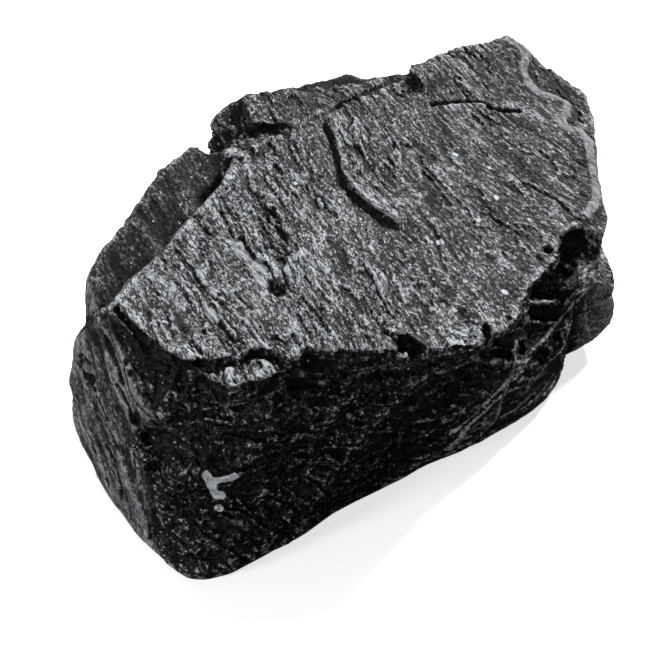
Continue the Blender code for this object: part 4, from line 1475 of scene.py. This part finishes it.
tree, shader, spot = start_finish(fresh, BREAK_SPECULAR)
streaks = use(tree, grain_group, Flow=attribute(tree, "flow", "Vector"), Wander=1.6)
grit = use(tree, grit_group, Place=spot, Speck_share=BREAK_SPECKS)
back_here = attribute(tree, "back")
rim_here = attribute(tree, "rim")
past_rim_here = attribute(tree, "dim")
shade_here = attribute(tree, "shade")
block_painted_light = attribute(tree, "block")
grainy = (
    (streaks["Streak"] - 0.5) * 1.3
    + (grit["Grain"] - 0.5)
    + (grit["Grit"] - 0.5)
    + (grit["Clump"] - 0.5) * 0.9
)
calm = (1.0 - shade_here.math("MAXIMUM", 0.0) * 0.75) * (1.0 - block_painted_light * 0.65)
tone = (
    grainy * calm
    + BREAK_BASE
    # paler where a point stands out, as wear; darker in hollows, as painted shade
    + (attribute(tree, "edge") * 0.34 + attribute(tree, "broad") * 0.16) * (1.0 - block_painted_light * 0.75)
    + back_here * 0.16
    # painted light on the low right block where it turns from the key light
    + block_painted_light * 0.56
    # painted light: the rim and the slope past it are painted paler
    + rim_here * 0.65
    + past_rim_here * 0.3
    # painted light and shade of the chips, faces, hollows, slits, crack and steep ground
    + shade_here * 0.6
)
grey = ramp(tone, BREAK_GREYS)
print("greys of the break:", [round(value, 4) for _, value in BREAK_GREYS])

# %% The break's painted glints, edges painted pale, rim highlight and film
GLINT_GREY = 0.5
ARRIS_GREY = 0.45
RIM_GREY = 0.20
BREAK_FILM_GREY = 0.7

grey = mix(grey, GLINT_GREY, grit["Speck"] * 0.8)
# the edges where a break turns are painted pale, as wear and as highlight
wear_and_painted_highlight = attribute(tree, "arris") + (grit["Grain"] - 0.5) * 0.9 + (grit["Clump"] - 0.5) * 0.9
grey = mix(grey, ARRIS_GREY, wear_and_painted_highlight.step(0.50, 0.85) * 0.85)
# painted highlight along the rim and the slope past it
rim_painted_highlight = (rim_here + past_rim_here * 0.4 + (grit["Clump"] - 0.5) * 0.6).step(0.40, 0.80)
grey = mix(grey, RIM_GREY, rim_painted_highlight * 0.8)
film_here = (attribute(tree, "film") + (grit["Clump"] - 0.5) * 0.5).step(0.47, 0.53)
grey = mix(grey, BREAK_FILM_GREY, film_here * 0.9)
feed(tree, shader.inputs["Base Color"], grey)
feed(tree, shader.inputs["Roughness"], grit["Clump"] * 0.5 + 0.12 + back_here * 0.2)
height = streaks["Streak"] * 0.4 + grit["Grit"] * 0.3
feed(tree, shader.inputs["Normal"], tilted(bump(height, MM * 0.8), grit["Tilt"], 0.5))
print("nodes in the break:", len(tree.nodes))

# %% [markdown]
# ## Hand the piece over
# The finished mesh stands for the solid `coal_lump`, which is hidden, and rides on the only body.

# %% Hand over
lump.data.name = "coal_lump_surface"
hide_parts("coal_lump")
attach(lump, "root")
bpy.context.view_layer.update()
